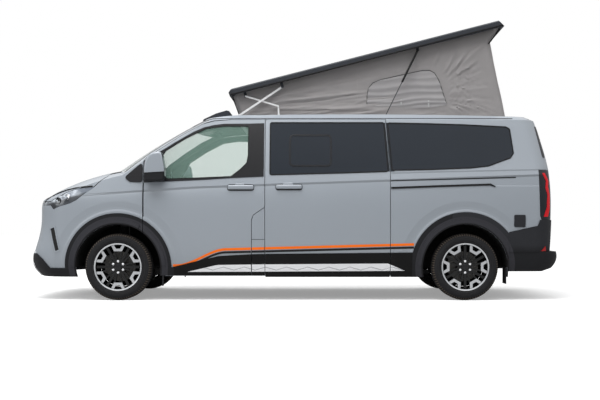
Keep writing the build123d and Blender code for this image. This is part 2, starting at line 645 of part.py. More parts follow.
# ---------------------------------------------------------------- floor and underbody
FLOOR_Z = (400, 430)
FLOOR_HALF = SILL_INNER_Y - FIT_GAP
FLOOR_X = (-1620, 2440)
RAIL_Y = (505, 570)
RAIL_Z = 305
RAIL_X = (-2420, 2420)
BULKHEAD_HALF = 560
with BuildPart() as floor_pan:
    add(block(FLOOR_X[0], FLOOR_X[1], -BULKHEAD_HALF, BULKHEAD_HALF, *FLOOR_Z))
    with BuildPart(mode=Mode.PRIVATE) as wide_floor:
        add(block(FRONT_AXLE_X + ARCH_R + 12, FLOOR_X[1], -FLOOR_HALF, FLOOR_HALF, *FLOOR_Z))
        rear_wheel_space = wheel_cylinder(REAR_AXLE_X, ARCH_R, REAR_LINER_Y[0] - FIT_GAP, BEYOND)
        add(on_both_sides(rear_wheel_space), mode=Mode.SUBTRACT)
    add(wide_floor.part)
    for low_y, high_y in (RAIL_Y, (-RAIL_Y[1], -RAIL_Y[0])):
        add(block(RAIL_X[0], RAIL_X[1], low_y, high_y, RAIL_Z, FLOOR_Z[0]))
    add(block(FLOOR_X[0], FLOOR_X[0] + 20, -BULKHEAD_HALF, BULKHEAD_HALF, FLOOR_Z[1], 1235))
save(floor_pan, "floor_pan")

ENGINE_CENTRE = (-2040, 0, 660)
with BuildPart() as engine_block:
    with Locations(ENGINE_CENTRE):
        Box(*ENGINE_SIZE)
save(engine_block, "engine_block")

ARM_Z = (186, 208)
ARM_END_Y = 765
with BuildPart() as front_subframe:
    add(block(FRONT_AXLE_X - 260, FRONT_AXLE_X + 300, -500, 500, 225, 300))
    with BuildPart(mode=Mode.PRIVATE) as arm:
        with BuildSketch(Plane.XY.offset(ARM_Z[0])):
            with BuildLine():
                Polyline((FRONT_AXLE_X + 20, -ARM_END_Y), (FRONT_AXLE_X - 20, -ARM_END_Y), (FRONT_AXLE_X - 60, -420),
                         (FRONT_AXLE_X + 280, -420), (FRONT_AXLE_X + 280, -500), close=True)
            make_face()
        extrude(amount=ARM_Z[1] - ARM_Z[0])
        add(block(FRONT_AXLE_X - 40, FRONT_AXLE_X + 280, -490, -420, ARM_Z[1], 225))
        with BuildSketch(Plane.XY.offset(400)):
            with Locations((FRONT_AXLE_X, -628)):
                Circle(46)
        extrude(amount=345)
        add(block(FRONT_AXLE_X - 30, FRONT_AXLE_X + 30, -650, -RAIL_Y[1] - FIT_GAP, 400, 440))
        add(block(FRONT_AXLE_X - 30, FRONT_AXLE_X + 30, -610, -490, 250, 300))
        add(block(FRONT_AXLE_X - 30, FRONT_AXLE_X + 30, -610, -RAIL_Y[1] - FIT_GAP, 250, 440))
    add(on_both_sides(arm.part))
save(front_subframe, "front_subframe")

BEAM_Z = (246, RAIL_Z - FIT_GAP)
with BuildPart() as rear_axle:
    add(block(REAR_AXLE_X - 45, REAR_AXLE_X + 45, -740, 740, *BEAM_Z))
    with BuildPart(mode=Mode.PRIVATE) as rear_corner:
        add(block(REAR_AXLE_X - 45, REAR_AXLE_X + 45, -783.6, -735, BEAM_Z[0], 388))
        add(block(REAR_AXLE_X - 470, REAR_AXLE_X - 40, -630, -590, BEAM_Z[0] + 8, BEAM_Z[1] - 12))
        with BuildSketch(Plane.XY.offset(BEAM_Z[1] - 1)):
            with Locations((REAR_AXLE_X, -640)):
                Circle(50)
        extrude(amount=FLOOR_Z[0] - FIT_GAP - BEAM_Z[1] + 1)
    add(on_both_sides(rear_corner.part))
save(rear_axle, "rear_axle")

EXHAUST_Y = 250
EXHAUST_Z = 352
EXHAUST_R = 26
EXHAUST_X = (-1500, 2560)
SILENCER = (200, 820, 72)   # from x, to x, radius
with BuildPart() as exhaust:
    with BuildSketch(Plane.YZ.offset(EXHAUST_X[0])):
        with Locations((EXHAUST_Y, EXHAUST_Z)):
            Circle(EXHAUST_R)
            Circle(EXHAUST_R - 4, mode=Mode.SUBTRACT)
    extrude(amount=EXHAUST_X[1] - EXHAUST_X[0])
    with BuildSketch(Plane.YZ.offset(SILENCER[0])):
        with Locations((EXHAUST_Y, EXHAUST_Z - 30)):
            Circle(SILENCER[2])
    extrude(amount=SILENCER[1] - SILENCER[0])
save(exhaust, "exhaust")

with BuildPart() as fuel_tank:
    add(block(-340, 720, -496, -60, 242, FLOOR_Z[0] - FIT_GAP))
    fillet(fuel_tank.edges().filter_by(Axis.X), 30)
    fillet(fuel_tank.faces().sort_by(Axis.X)[0].edges(), 20)
    fillet(fuel_tank.faces().sort_by(Axis.X)[-1].edges(), 20)
save(fuel_tank, "fuel_tank")

# ---------------------------------------------------------------- knuckles, wheels and tyres
DISC_Y = 792
UPRIGHT_Y = (736, 788)
UPRIGHT_Z = (212, 470)
HUB_R = 72
CALIPER_OFF = 116           # the caliper stands this far ahead of the axle


def brake_corner(axle_x, front):
    """Brake disc, hub and caliper of a left wheel, with the upright that carries a front one."""
    with BuildPart() as corner:
        add(wheel_cylinder(axle_x, DISC_R, DISC_Y, DISC_Y + DISC_THICK))
        add(wheel_cylinder(axle_x, HUB_R, DISC_Y - (30 if front else 8), HUB_FACE_Y - FIT_GAP))
        caliper_x = axle_x - CALIPER_OFF
        add(block(caliper_x - 38, caliper_x + 38, -DISC_Y - DISC_THICK - 22, -DISC_Y + 40, AXLE_Z - 70, AXLE_Z + 110))
        if front:
            add(block(axle_x - 42, axle_x + 42, -UPRIGHT_Y[1], -UPRIGHT_Y[0], *UPRIGHT_Z))
            add(block(caliper_x + 15, axle_x - 25, -UPRIGHT_Y[1] + 12, -UPRIGHT_Y[0] - 24, AXLE_Z - 30, AXLE_Z + 60))
    return corner.part


with BuildPart() as knuckle_left:
    add(brake_corner(FRONT_AXLE_X, True))
save(knuckle_left, "knuckle_left")

with BuildPart() as knuckle_right:
    mirror(knuckle_left.part, about=Plane.XZ)
save(knuckle_right, "knuckle_right")

with BuildPart() as rear_brakes:
    add(on_both_sides(brake_corner(REAR_AXLE_X, False)))
save(rear_brakes, "rear_brakes")

TYRE_INNER_Y = WHEEL_FACE_Y - TYRE_WIDTH
BEAD_R = 228
TYRE_PROFILE = [            # radius, distance in from the outer face
    (BEAD_R + 0.4, 24), (RIM_R + 3, 18), (RIM_R + 12, 6), (RIM_R + 34, 0), (RIM_R + 66, 5), (TYRE_R - 9, 24),
    (TYRE_R, 44),
]
BARREL_R = 206
RIM_EDGE = 10               # the rim's outer edge stands in from the tyre's face
SPOKE_FACE = 22             # spokes' outer face, in from the tyre's face
SPOKES = 6
RING_IN_R = 226
HOOP_OUT = 80               # half width of a hoop at the ring
HOOP_IN = 40                # half width of a hoop nearest the hub
HOOP_R = 158
HOOP_BAND = 26
HOOP_THICK = 30
SPOKE_WIDTH = 16
SPOKE_TURN = 13             # the paired spokes stand this many degrees either side of a hoop's middle
SPOKE_THICK = 30
CENTRE_R = 74


def tyre_at(axle_x, side):
    """Tyre turned about its axle; side is -1 on the left and 1 on the right."""
    with BuildPart() as tyre:
        with BuildSketch(Plane.XY.offset(AXLE_Z)):
            with BuildLine():
                outer_half = [(axle_x + r, side * (WHEEL_FACE_Y - d)) for r, d in TYRE_PROFILE]
                inner_half = [(axle_x + r, side * (TYRE_INNER_Y + d)) for r, d in reversed(TYRE_PROFILE)]
                Polyline(*(outer_half + inner_half), close=True)
            make_face()
        revolve(axis=Axis((axle_x, 0, AXLE_Z), (0, 1, 0)))
    return tyre.part


with BuildSketch() as hoop:
    with BuildLine():
        Polyline((RIM_R, HOOP_OUT), (HOOP_R, HOOP_IN), (HOOP_R, -HOOP_IN), (RIM_R, -HOOP_OUT),
                 (RIM_R, HOOP_BAND - HOOP_OUT), (HOOP_R + HOOP_BAND, HOOP_BAND * 0.8 - HOOP_IN),
                 (HOOP_R + HOOP_BAND, HOOP_IN - HOOP_BAND * 0.8), (RIM_R, HOOP_OUT - HOOP_BAND), close=True)
    make_face()


def rim_at(axle_x, side, turn):
    """Alloy rim: barrel, hub and spokes with six hoops hanging in from the ring."""
    face_plane = Plane(origin=(axle_x, side * (WHEEL_FACE_Y - SPOKE_FACE), AXLE_Z), x_dir=(1, 0, 0),
                       z_dir=(0, side, 0))
    with BuildPart() as rim:
        with BuildSketch(Plane.XY.offset(AXLE_Z)):
            with BuildLine():
                edge = WHEEL_FACE_Y - RIM_EDGE
                back = TYRE_INNER_Y + RIM_EDGE
                barrel = [(RIM_R, edge), (RING_IN_R, edge - 4), (BARREL_R, edge - 60), (BARREL_R, back + 20),
                          (RING_IN_R + 8, back), (RIM_R, back), (RIM_R, back + 8), (BEAD_R - 1, back + 14),
                          (BEAD_R - 1, back + 34), (BARREL_R + 8, back + 50), (BARREL_R + 8, edge - 50),
                          (BEAD_R - 1, edge - 20), (BEAD_R - 1, edge - 6), (RIM_R, edge - 3)]
                Polyline(*[(axle_x + r, side * y) for r, y in barrel], close=True)
            make_face()
        revolve(axis=Axis((axle_x, 0, AXLE_Z), (0, 1, 0)))
        with BuildSketch(face_plane):
            with PolarLocations(0, SPOKES):
                add(hoop.sketch)
            Circle(RING_IN_R - 1, mode=Mode.INTERSECT)
        extrude(amount=-HOOP_THICK)
        with BuildSketch(face_plane.offset(-8)):
            Circle(CENTRE_R)
            for pair in (-SPOKE_TURN, SPOKE_TURN):
                with PolarLocations((CENTRE_R + HOOP_R) / 2, SPOKES, start_angle=pair):
                    Rectangle(HOOP_R - CENTRE_R + 24, SPOKE_WIDTH)
            with PolarLocations((CENTRE_R + BARREL_R) / 2, SPOKES, start_angle=180 / SPOKES):
                Rectangle(BARREL_R - CENTRE_R + 20, SPOKE_WIDTH * 1.6)
        extrude(amount=-SPOKE_THICK)
        with BuildSketch(Plane.XZ.offset(-side * HUB_FACE_Y)):
            with Locations((axle_x, AXLE_Z)):
                Circle(CENTRE_R - 4)
        extrude(amount=-side * (WHEEL_FACE_Y - SPOKE_FACE - 20 - HUB_FACE_Y))
    return rim.part.rotate(Axis((axle_x, 0, AXLE_Z), (0, 1, 0)), turn)


# Columns: node ending, axle x, side, turn of the rim
WHEELS = [
    ("front_left", FRONT_AXLE_X, -1, 30),
    ("front_right", FRONT_AXLE_X, 1, 30),
    ("rear_left", REAR_AXLE_X, -1, 0),
    ("rear_right", REAR_AXLE_X, 1, 0),
]
for ending, axle_x, side, turn in WHEELS:
    with BuildPart() as tyre:
        add(tyre_at(axle_x, side))
    save(tyre, f"tyre_{ending}")
    with BuildPart() as rim:
        add(rim_at(axle_x, side, turn))
    save(rim, f"rim_{ending}")

# ---------------------------------------------------------------- inside
SEAT_BASE_Z = FLOOR_Z[1] + FIT_GAP
with BuildPart() as dashboard:
    with BuildSketch(Plane.XZ.offset(-800)):
        with BuildLine():
            Polyline((-1598, 820), (-1598, 1150), (-1480, 1168), (-1240, 1120), (-1190, 1040), (-1230, 900),
                     (-1340, 820), close=True)
        make_face()
    extrude(amount=1600)
    fillet(dashboard.edges().filter_by(Axis.Y), 18)
    add(block(-1420, -1240, -140, 140, FLOOR_Z[1] + FIT_GAP, 830))
save(dashboard, "dashboard")

WHEEL_CENTRE = (-1085, -430, 1105)
WHEEL_TILT = 28
WHEEL_RING_R = 185
steering_plane = Plane(origin=WHEEL_CENTRE, x_dir=(0, 1, 0), z_dir=(cos(radians(WHEEL_TILT)), 0, sin(radians(WHEEL_TILT))))
with BuildPart() as steering_wheel:
    with BuildSketch(Plane(origin=steering_plane.origin, x_dir=(0, 1, 0),
                           z_dir=(-sin(radians(WHEEL_TILT)), 0, cos(radians(WHEEL_TILT))))):
        with Locations((WHEEL_RING_R, 0)):
            Circle(15)
    revolve(axis=Axis(WHEEL_CENTRE, tuple(steering_plane.z_dir)))
    with BuildSketch(steering_plane.offset(-22)):
        Circle(62)
        for angle in (0, 180, 270):
            with Locations(Rotation(0, 0, angle)):
                with Locations((WHEEL_RING_R / 2, 0)):
                    Rectangle(WHEEL_RING_R, 34)
    extrude(amount=26)
    with BuildSketch(steering_plane.offset(-108)):
        Circle(26)
    extrude(amount=90)
save(steering_wheel, "steering_wheel")

SEAT_PROFILE = [
    (-985, 655), (-985, 760), (-940, 800), (-560, 775), (-490, 960), (-395, 1330), (-385, 1400), (-395, 1540),
    (-330, 1560), (-285, 1540), (-280, 1400), (-300, 1340), (-370, 960), (-400, 700), (-420, 655), (-520, 640),
    (-520, SEAT_BASE_Z), (-880, SEAT_BASE_Z), (-880, 640),
]
SEAT_Y = (190, 690)
BENCH_PROFILE = [
    (960, SEAT_BASE_Z), (960, 850), (1000, 880), (1400, 860), (1470, 1060), (1545, 1480), (1640, 1480),
    (1590, 1060), (1560, 860), (1540, SEAT_BASE_Z),
]
BENCH_Y = (-470, 560)
with BuildPart() as seats:
    with BuildSketch(Plane.XZ.offset(SEAT_Y[0])):
        with BuildLine():
            Polyline(*SEAT_PROFILE, close=True)
        make_face()
    extrude(amount=SEAT_Y[1] - SEAT_Y[0])
    mirror(about=Plane.XZ)
    with BuildSketch(Plane.XZ.offset(-BENCH_Y[1])):
        with BuildLine():
            Polyline(*BENCH_PROFILE, close=True)
        make_face()
    extrude(amount=BENCH_Y[1] - BENCH_Y[0])
save(seats, "seats")

KITCHEN = (640, 2300, -834, -480, 1215)
with BuildPart() as kitchen_unit:
    add(block(KITCHEN[0], KITCHEN[1], KITCHEN[2], KITCHEN[3], SEAT_BASE_Z, KITCHEN[4]))
    add(wheel_cylinder(REAR_AXLE_X, ARCH_R + 2, REAR_LINER_Y[0] - 2, BEYOND), mode=Mode.SUBTRACT)
save(kitchen_unit, "kitchen_unit")

# ---------------------------------------------------------------- raised roof
LID_ANGLE = 14.34
LINK_FOOT = (-562, 1893)    # long link's pivot on the tray (x, z)
LINK_HEAD = (-116, 2189)    # its pivot on the lid
LID_LIFT = 32.5             # lid's lower edge above the link head, square to the lid
LID_X = (-551, 2368)        # lid's ends from the link head, along the lid
LID_HALF = 760
LID_SIDE = 72               # height of the lid's side
LID_CROWN = 26
LID_WALL = 24
CLOSED_HEAD = (-27.5, 1863)  # where the link head lies when the roof is shut
TRAY_X = (-592, 2228)
TRAY_HALF = 737.5
TRAY_FLOOR = (1838, 1845)
TRAY_LIP_Z = 1878
CURTAIN_FOOT_X = (-552, 2196)
CURTAIN_HALF = 656
CURTAIN_THICK = 4


def lid_tilt(angle):
    """Location that turns and lifts the lid from flat at the origin to its place by the link head."""
    return Location((LINK_HEAD[0], 0, LINK_HEAD[1]), (0, -angle, 0))


def from_lid(x, z):
    """Side view point given along and square to the open lid."""
    turn = radians(LID_ANGLE)
    return (LINK_HEAD[0] + x * cos(turn) - z * sin(turn), LINK_HEAD[1] + x * sin(turn) + z * cos(turn))


def to_lid(x, z):
    """The same point measured along and square to the open lid."""
    turn = radians(LID_ANGLE)
    dx, dz = x - LINK_HEAD[0], z - LINK_HEAD[1]
    return (dx * cos(turn) + dz * sin(turn), -dx * sin(turn) + dz * cos(turn))


STRUT_FOOT = (951, 1893)
STRUT_HEAD = (1284, 2570)
LID_LINK_HEAD = (-496, 2093)
KNEE = (-160, 1992)
KNEE_FOOT = (-155, 1905)
lid_top = LID_LIFT + LID_SIDE
LID_PROFILE = [
    (LID_X[0], LID_LIFT), (LID_X[0] - 4, LID_LIFT + 46), (LID_X[0] + 38, lid_top), (LID_X[0] + 300, lid_top + LID_CROWN),
    (LID_X[1] - 300, lid_top + LID_CROWN), (LID_X[1] - 42, lid_top), (LID_X[1], LID_LIFT),
]
POCKET_TOP = LID_LIFT + 62
with BuildPart() as lid_flat:
    with BuildSketch(Plane.XZ):
        with BuildLine():
            Polyline(*LID_PROFILE, close=True)
        make_face()
    extrude(amount=LID_HALF, both=True)
    with BuildSketch(Plane.YZ.offset(LID_X[0] - 50)):
        with BuildLine():
            Polyline((-LID_HALF, lid_top - 14), (-LID_HALF, 0), (LID_HALF, 0), (LID_HALF, lid_top - 14))
            Line((LID_HALF, lid_top - 14), (LID_HALF - 16, lid_top))
            ThreePointArc((LID_HALF - 16, lid_top), (0, lid_top + LID_CROWN), (16 - LID_HALF, lid_top))
            Line((16 - LID_HALF, lid_top), (-LID_HALF, lid_top - 14))
        make_face()
    extrude(amount=LID_X[1] - LID_X[0] + 100, mode=Mode.INTERSECT)
    fillet(lid_flat.edges().filter_by(Axis.Z, tolerance=8).sort_by(Axis.X)[:2], 60)
    add(block(LID_X[0] + LID_WALL, LID_X[1] - LID_WALL, LID_WALL - LID_HALF, LID_HALF - LID_WALL, 0, POCKET_TOP),
        mode=Mode.SUBTRACT)

closed_place = Location((CLOSED_HEAD[0], 0, CLOSED_HEAD[1]))
roof_below = closed_place.inverse() * clad_outer


STRUT_Y = 717
TUBE_R = 11


def lid_bracket(place, low_y, high_y):
    """Plate that hangs from the lid beside a pivot, on both sides."""
    x, z = to_lid(*place)
    return on_both_sides(block(x - 14, x + 14, -high_y, -low_y, z - 11, POCKET_TOP + 0.5))


with BuildPart() as roof_lid:
    with BuildPart(mode=Mode.PRIVATE) as flat_with_brackets:
        add(lid_flat.part)
        add(roof_below, mode=Mode.SUBTRACT)
        foot_notch = block(LID_X[0] - 10, LID_X[0] + LID_WALL + 2, -727, -699, 0, 50)
        add(on_both_sides(foot_notch), mode=Mode.SUBTRACT)
        add(lid_bracket(LINK_HEAD, 714.4, 722))
        add(lid_bracket(LID_LINK_HEAD, 682, 689.6))
        add(lid_bracket(STRUT_HEAD, 696, STRUT_Y - TUBE_R - 0.3))
    add(lid_tilt(LID_ANGLE) * flat_with_brackets.part)
save(roof_lid, "roof_lid")


def link_between(foot, head, near, far, height):
    """Flat bar with round ends between two pivots, on both sides."""
    with BuildPart() as bar:
        with BuildSketch(Plane.XZ.offset(near)):
            with Locations(((foot[0] + head[0]) / 2, (foot[1] + head[1]) / 2)):
                SlotCenterToCenter(hypot(head[0] - foot[0], head[1] - foot[1]), height,
                                   rotation=degrees(atan2(head[1] - foot[1], head[0] - foot[0])))
        extrude(amount=far - near)
    return on_both_sides(bar.part)


with BuildPart() as long_links:
    add(link_between(LINK_FOOT, LINK_HEAD, 704, 714, 20))
save(long_links, "long_links")

with BuildPart() as lid_links:
    add(link_between(LID_LINK_HEAD, KNEE, 690, 698, 16))
save(lid_links, "lid_links")

with BuildPart() as knee_links:
    add(link_between(KNEE_FOOT, KNEE, 680, 688, 16))
save(knee_links, "knee_links")

TUBE_BORE_R = 6.2
ROD_R = 5
TUBE_LENGTH = 372
ROD_IN_TUBE = 30
strut_run = Vector(STRUT_HEAD[0] - STRUT_FOOT[0], 0, STRUT_HEAD[1] - STRUT_FOOT[1])
strut_length = strut_run.length
strut_plane = Plane(origin=(STRUT_HEAD[0], -STRUT_Y, STRUT_HEAD[1]), z_dir=-strut_run)
with BuildPart() as strut_tubes:
    with BuildPart(mode=Mode.PRIVATE) as left_tube:
        with BuildSketch(strut_plane):
            Circle(TUBE_R)
        extrude(amount=TUBE_LENGTH)
        with BuildSketch(strut_plane.offset(24)):
            Circle(TUBE_BORE_R)
        extrude(amount=TUBE_LENGTH, mode=Mode.SUBTRACT)
    add(on_both_sides(left_tube.part))
save(strut_tubes, "strut_tubes")

with BuildPart() as strut_rods:
    with BuildPart(mode=Mode.PRIVATE) as left_rod:
        with BuildSketch(strut_plane.offset(TUBE_LENGTH - ROD_IN_TUBE)):
            Circle(ROD_R)
        extrude(amount=strut_length - TUBE_LENGTH + ROD_IN_TUBE)
        with Locations((STRUT_FOOT[0], -STRUT_Y, STRUT_FOOT[1])):
            Sphere(9)
    add(on_both_sides(left_rod.part))
save(strut_rods, "strut_rods")


def tray_bracket(place, low_y, high_y):
    """Plate that stands on the tray beside a pivot, on both sides."""
    x, z = place
    return on_both_sides(block(x - 11, x + 11, -high_y, -low_y, TRAY_FLOOR[0], z + 11))


with BuildPart() as roof_tray:
    add(block(*TRAY_X, -TRAY_HALF, TRAY_HALF, TRAY_FLOOR[0], TRAY_LIP_Z))
    inner_half = CURTAIN_HALF - CURTAIN_THICK - FIT_GAP
    add(block(TRAY_X[0] + 5, TRAY_X[1] - 5, 5 - TRAY_HALF, TRAY_HALF - 5, TRAY_FLOOR[1], 2000), mode=Mode.SUBTRACT)
    inner_x = (CURTAIN_FOOT_X[0] + CURTAIN_THICK + FIT_GAP, CURTAIN_FOOT_X[1] - CURTAIN_THICK - FIT_GAP)
    add(block(*inner_x, -inner_half, inner_half, TRAY_FLOOR[0], TRAY_LIP_Z))
    add(block(inner_x[0] + 8, inner_x[1] - 8, 8 - inner_half, inner_half - 8, 0, 2000), mode=Mode.SUBTRACT)
    add(tray_bracket(LINK_FOOT, 714.4, 722))
    add(tray_bracket(KNEE_FOOT, 672, 679.6))
    add(tray_bracket(STRUT_FOOT, 699, 707.6))
save(roof_tray, "roof_tray")

CURTAIN_WAIST = (2030, 2650)
CURTAIN_FOOT_Z = TRAY_FLOOR[1] + FIT_GAP


def curtain_profile(inset):
    """Side view of the canvas, running on past its foot and head when it is the inner one."""
    reach = 60 if inset else 0
    front = from_lid(LID_X[0] + 30 + inset, LID_LIFT + 2 + reach)
    rear = from_lid(LID_X[1] - 26 - 1.6 * inset, LID_LIFT + 2 + reach)
    return [
        (CURTAIN_FOOT_X[0] + inset, CURTAIN_FOOT_Z - reach), (CURTAIN_FOOT_X[0] + inset, TRAY_LIP_Z + 12),
        front, rear, (CURTAIN_WAIST[0] - 1.2 * inset, CURTAIN_WAIST[1]),
        (CURTAIN_FOOT_X[1] - inset, TRAY_LIP_Z + 12), (CURTAIN_FOOT_X[1] - inset, CURTAIN_FOOT_Z - reach),
    ]


with BuildPart() as canvas:
    for half, inset, mode in ((CURTAIN_HALF, 0, Mode.ADD), (CURTAIN_HALF - CURTAIN_THICK, CURTAIN_THICK, Mode.SUBTRACT)):
        with BuildSketch(Plane.XZ):
            with BuildLine():
                Polyline(*curtain_profile(inset), close=True)
            make_face()
        extrude(amount=half, both=True, mode=mode)
save(canvas, "canvas")

FAIRING_PROFILE = [(-1012, 1820), (-967, 1868), (-695, 1946), (-668, 1940), (-652, 1820)]
FAIRING_HALF = (540, 700)   # half width at its front and rear
with BuildPart() as roof_fairing:
    with BuildSketch(Plane.XZ):
        with BuildLine():
            Polyline(*FAIRING_PROFILE, close=True)
        make_face()
    extrude(amount=FAIRING_HALF[1], both=True)
    with BuildSketch(Plane.XY.offset(1700)):
        with BuildLine():
            ThreePointArc((-950, -FAIRING_HALF[0]), (-1010, 0), (-950, FAIRING_HALF[0]))
            Polyline((-950, FAIRING_HALF[0]), (-800, FAIRING_HALF[1]), (-640, FAIRING_HALF[1]),
                     (-640, -FAIRING_HALF[1]), (-800, -FAIRING_HALF[1]), (-950, -FAIRING_HALF[0]))
        make_face()
    extrude(amount=500, mode=Mode.INTERSECT)
    add(outer, mode=Mode.SUBTRACT)
save(roof_fairing, "roof_fairing")
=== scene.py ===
# %% [markdown]
# # A camper van with its roof raised
# The van is a painted steel box on four wheels with a fabric tent under a tilting roof lid. Its solid
# pieces come from the CAD frame at their real size. This lesson gives them their finishes and adds what a
# maker fits last: tent, seats, tread, lamps, seals, handles and trim. The van's front points to -X, its
# left side to -Y, and the ground is at Z = 0.

# %% Load the frame
import json
import math
import random
import bmesh
import bpy
from mathutils import Matrix, Vector
from mathutils.bvhtree import BVHTree


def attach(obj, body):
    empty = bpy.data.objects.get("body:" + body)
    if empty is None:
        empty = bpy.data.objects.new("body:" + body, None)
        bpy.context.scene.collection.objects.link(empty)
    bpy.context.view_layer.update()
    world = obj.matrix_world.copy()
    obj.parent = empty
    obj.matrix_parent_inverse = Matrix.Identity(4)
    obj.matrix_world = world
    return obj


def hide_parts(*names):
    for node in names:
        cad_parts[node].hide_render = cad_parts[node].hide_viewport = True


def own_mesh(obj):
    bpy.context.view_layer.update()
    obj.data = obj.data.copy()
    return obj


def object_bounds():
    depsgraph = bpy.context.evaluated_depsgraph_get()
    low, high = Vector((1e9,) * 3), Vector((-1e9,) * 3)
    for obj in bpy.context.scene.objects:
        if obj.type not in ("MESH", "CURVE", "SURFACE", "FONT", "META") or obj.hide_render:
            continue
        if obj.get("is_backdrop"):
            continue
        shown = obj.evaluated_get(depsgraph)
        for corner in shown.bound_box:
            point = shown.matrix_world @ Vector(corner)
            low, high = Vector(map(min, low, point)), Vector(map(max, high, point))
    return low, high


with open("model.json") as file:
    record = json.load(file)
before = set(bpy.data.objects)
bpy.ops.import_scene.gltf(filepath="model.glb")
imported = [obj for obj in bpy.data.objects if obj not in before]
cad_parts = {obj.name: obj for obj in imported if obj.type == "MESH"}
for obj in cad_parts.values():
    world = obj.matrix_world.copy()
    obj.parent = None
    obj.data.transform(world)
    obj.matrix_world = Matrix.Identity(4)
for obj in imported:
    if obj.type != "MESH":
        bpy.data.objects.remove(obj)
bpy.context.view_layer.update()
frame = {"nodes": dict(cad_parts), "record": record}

scene = bpy.context.scene
record = frame["record"]
slot_of = {row["node"]: row["material_slot"] for row in record["subparts"]}

# %% [markdown]
# ## Camera
# A van looks longest and calmest from the side, from far off and at hip height, so the camera stands ten
# metres away and looks level. A little lens shift puts the van in the frame without tilting the camera,
# because a tilted camera would make the upright lines lean.

# %% Camera
CAMERA_PLACE = Vector((0.221, -10.48, 0.75))
CAMERA_LENS, CAMERA_SHIFT = 56.7, (-0.025, 0.0433)
camera = bpy.data.objects.new("camera", bpy.data.cameras.new("camera"))
camera.location = CAMERA_PLACE
camera.rotation_euler = (math.radians(90), 0, 0)
camera.data.lens = CAMERA_LENS
camera.data.shift_x, camera.data.shift_y = CAMERA_SHIFT
camera.data.clip_end = 300
scene.collection.objects.link(camera)
scene.camera = camera
scene.view_settings.view_transform = "Standard"
print("camera", tuple(camera.location), "lens", camera.data.lens)

# %% [markdown]
# ## Shader maths
# Finishes are sums of noise, masks and positions. Drawn by hand in the node editor they grow into a web that
# is hard to read. A small class wraps a shader socket instead, so that an expression such as
# `1 - mask * 0.5` adds the Math nodes by itself.

# %% Shader values
class Value:
    """A shader socket that can be added, multiplied and compared like a number."""

    def __init__(self, finish, socket):
        self.finish, self.socket = finish, socket

    def math(self, operation, *others):
        """One Math node with this value first."""
        return self.finish.node("ShaderNodeMath", {"operation": operation}, self, *others)

    def __add__(self, other):
        return self.math("ADD", other)

    def __mul__(self, other):
        return self.math("MULTIPLY", other)

    def __sub__(self, other):
        return self.math("SUBTRACT", other)

    def __truediv__(self, other):
        return self.math("DIVIDE", other)

    def __rsub__(self, other):
        return self.finish.node("ShaderNodeMath", {"operation": "SUBTRACT"}, other, self)

    def __gt__(self, other):
        return self.math("GREATER_THAN", other)

    def __lt__(self, other):
        return self.math("LESS_THAN", other)

    def __abs__(self):
        return self.math("ABSOLUTE")

    __radd__ = __add__
    __rmul__ = __mul__

    def both(self, other):
        """1 where both masks are 1."""
        return self.math("MULTIPLY", other)

    def either(self, other):
        """1 where one of two masks is 1."""
        return self.math("MAXIMUM", other)

    def clamp(self):
        return self.finish.node("ShaderNodeClamp", {}, self)


print("shader values ready")

# %% [markdown]
# ## A finish under construction
# Each finish is one Principled shader with a few nodes in front of it. A second class makes the material,
# adds any node in one call, and gives the places, directions and noises that most finishes start from. All
# patterns read the van's own coordinates in metres, so they keep their size and place on every piece.

# %% Finish builder
class Finish:
    """A material under construction: its nodes, the surface's coordinates and its Principled shader."""

    def __init__(self, name, **constants):
        self.material = bpy.data.materials.new(name)
        self.material.use_nodes = True
        self.tree = self.material.node_tree
        self.shader = self.tree.nodes["Principled BSDF"]
        for title, value in constants.items():
            self.shader.inputs[title.replace("_", " ")].default_value = value

    def node(self, kind, settings, *values, out=0, **named):
        """Adds a node, sets it up, feeds its sockets and returns one output as a Value."""
        made = self.tree.nodes.new(kind)
        for key, setting in settings.items():
            if key == "stops":
                ramp = made.color_ramp
                while len(ramp.elements) < len(setting):
                    ramp.elements.new(1.0)
                for element, (place, colour) in zip(ramp.elements, setting):
                    element.position, element.color = place, colour
            else:
                setattr(made, key, setting)
        for target, value in [*enumerate(values), *((k.replace("_", " "), v) for k, v in named.items())]:
            socket = made.inputs[target]
            if isinstance(value, Value):
                self.tree.links.new(value.socket, socket)
            elif value is not None:
                socket.default_value = value
        return Value(self, made.outputs[out])

    def place(self):
        """Object coordinates, which are metres in the van's own frame."""
        return self.node("ShaderNodeTexCoord", {}, out="Object")

    def axes(self):
        """The surface's place, split into metres back, right and up."""
        spread = self.node("ShaderNodeSeparateXYZ", {}, self.place())
        return [Value(self, spread.socket.node.outputs[i]) for i in range(3)]

    def facing(self):
        """The surface's own direction, split into its three parts."""
        normal = self.node("ShaderNodeNewGeometry", {}, out="Normal")
        spread = self.node("ShaderNodeSeparateXYZ", {}, normal)
        return [Value(self, spread.socket.node.outputs[i]) for i in range(3)]

    def noise(self, scale, detail=2.0, roughness=0.5, vector=None):
        return self.node("ShaderNodeTexNoise", {}, vector or self.place(), Scale=scale, Detail=detail,
                         Roughness=roughness)

    def mix(self, factor, first, second):
        """Colour mix: first where the factor is 0, second where it is 1."""
        made = self.tree.nodes.new("ShaderNodeMix")
        made.data_type = "RGBA"
        for socket, value in zip((made.inputs[0], made.inputs[6], made.inputs[7]), (factor, first, second)):
            if isinstance(value, Value):
                self.tree.links.new(value.socket, socket)
            else:
                socket.default_value = value
        return Value(self, made.outputs[2])

    def link(self, **sockets):
        """Feeds values into the shader's sockets by their names."""
        for title, value in sockets.items():
            self.tree.links.new(value.socket, self.shader.inputs[title.replace("_", " ")])
        return self

    def bump(self, height, strength, distance):
        """Makes a height, in shares of a distance, look raised."""
        normal = self.node("ShaderNodeBump", {}, Height=height, Strength=strength, Distance=distance)
        return self.link(Normal=normal)


print("finish builder ready")


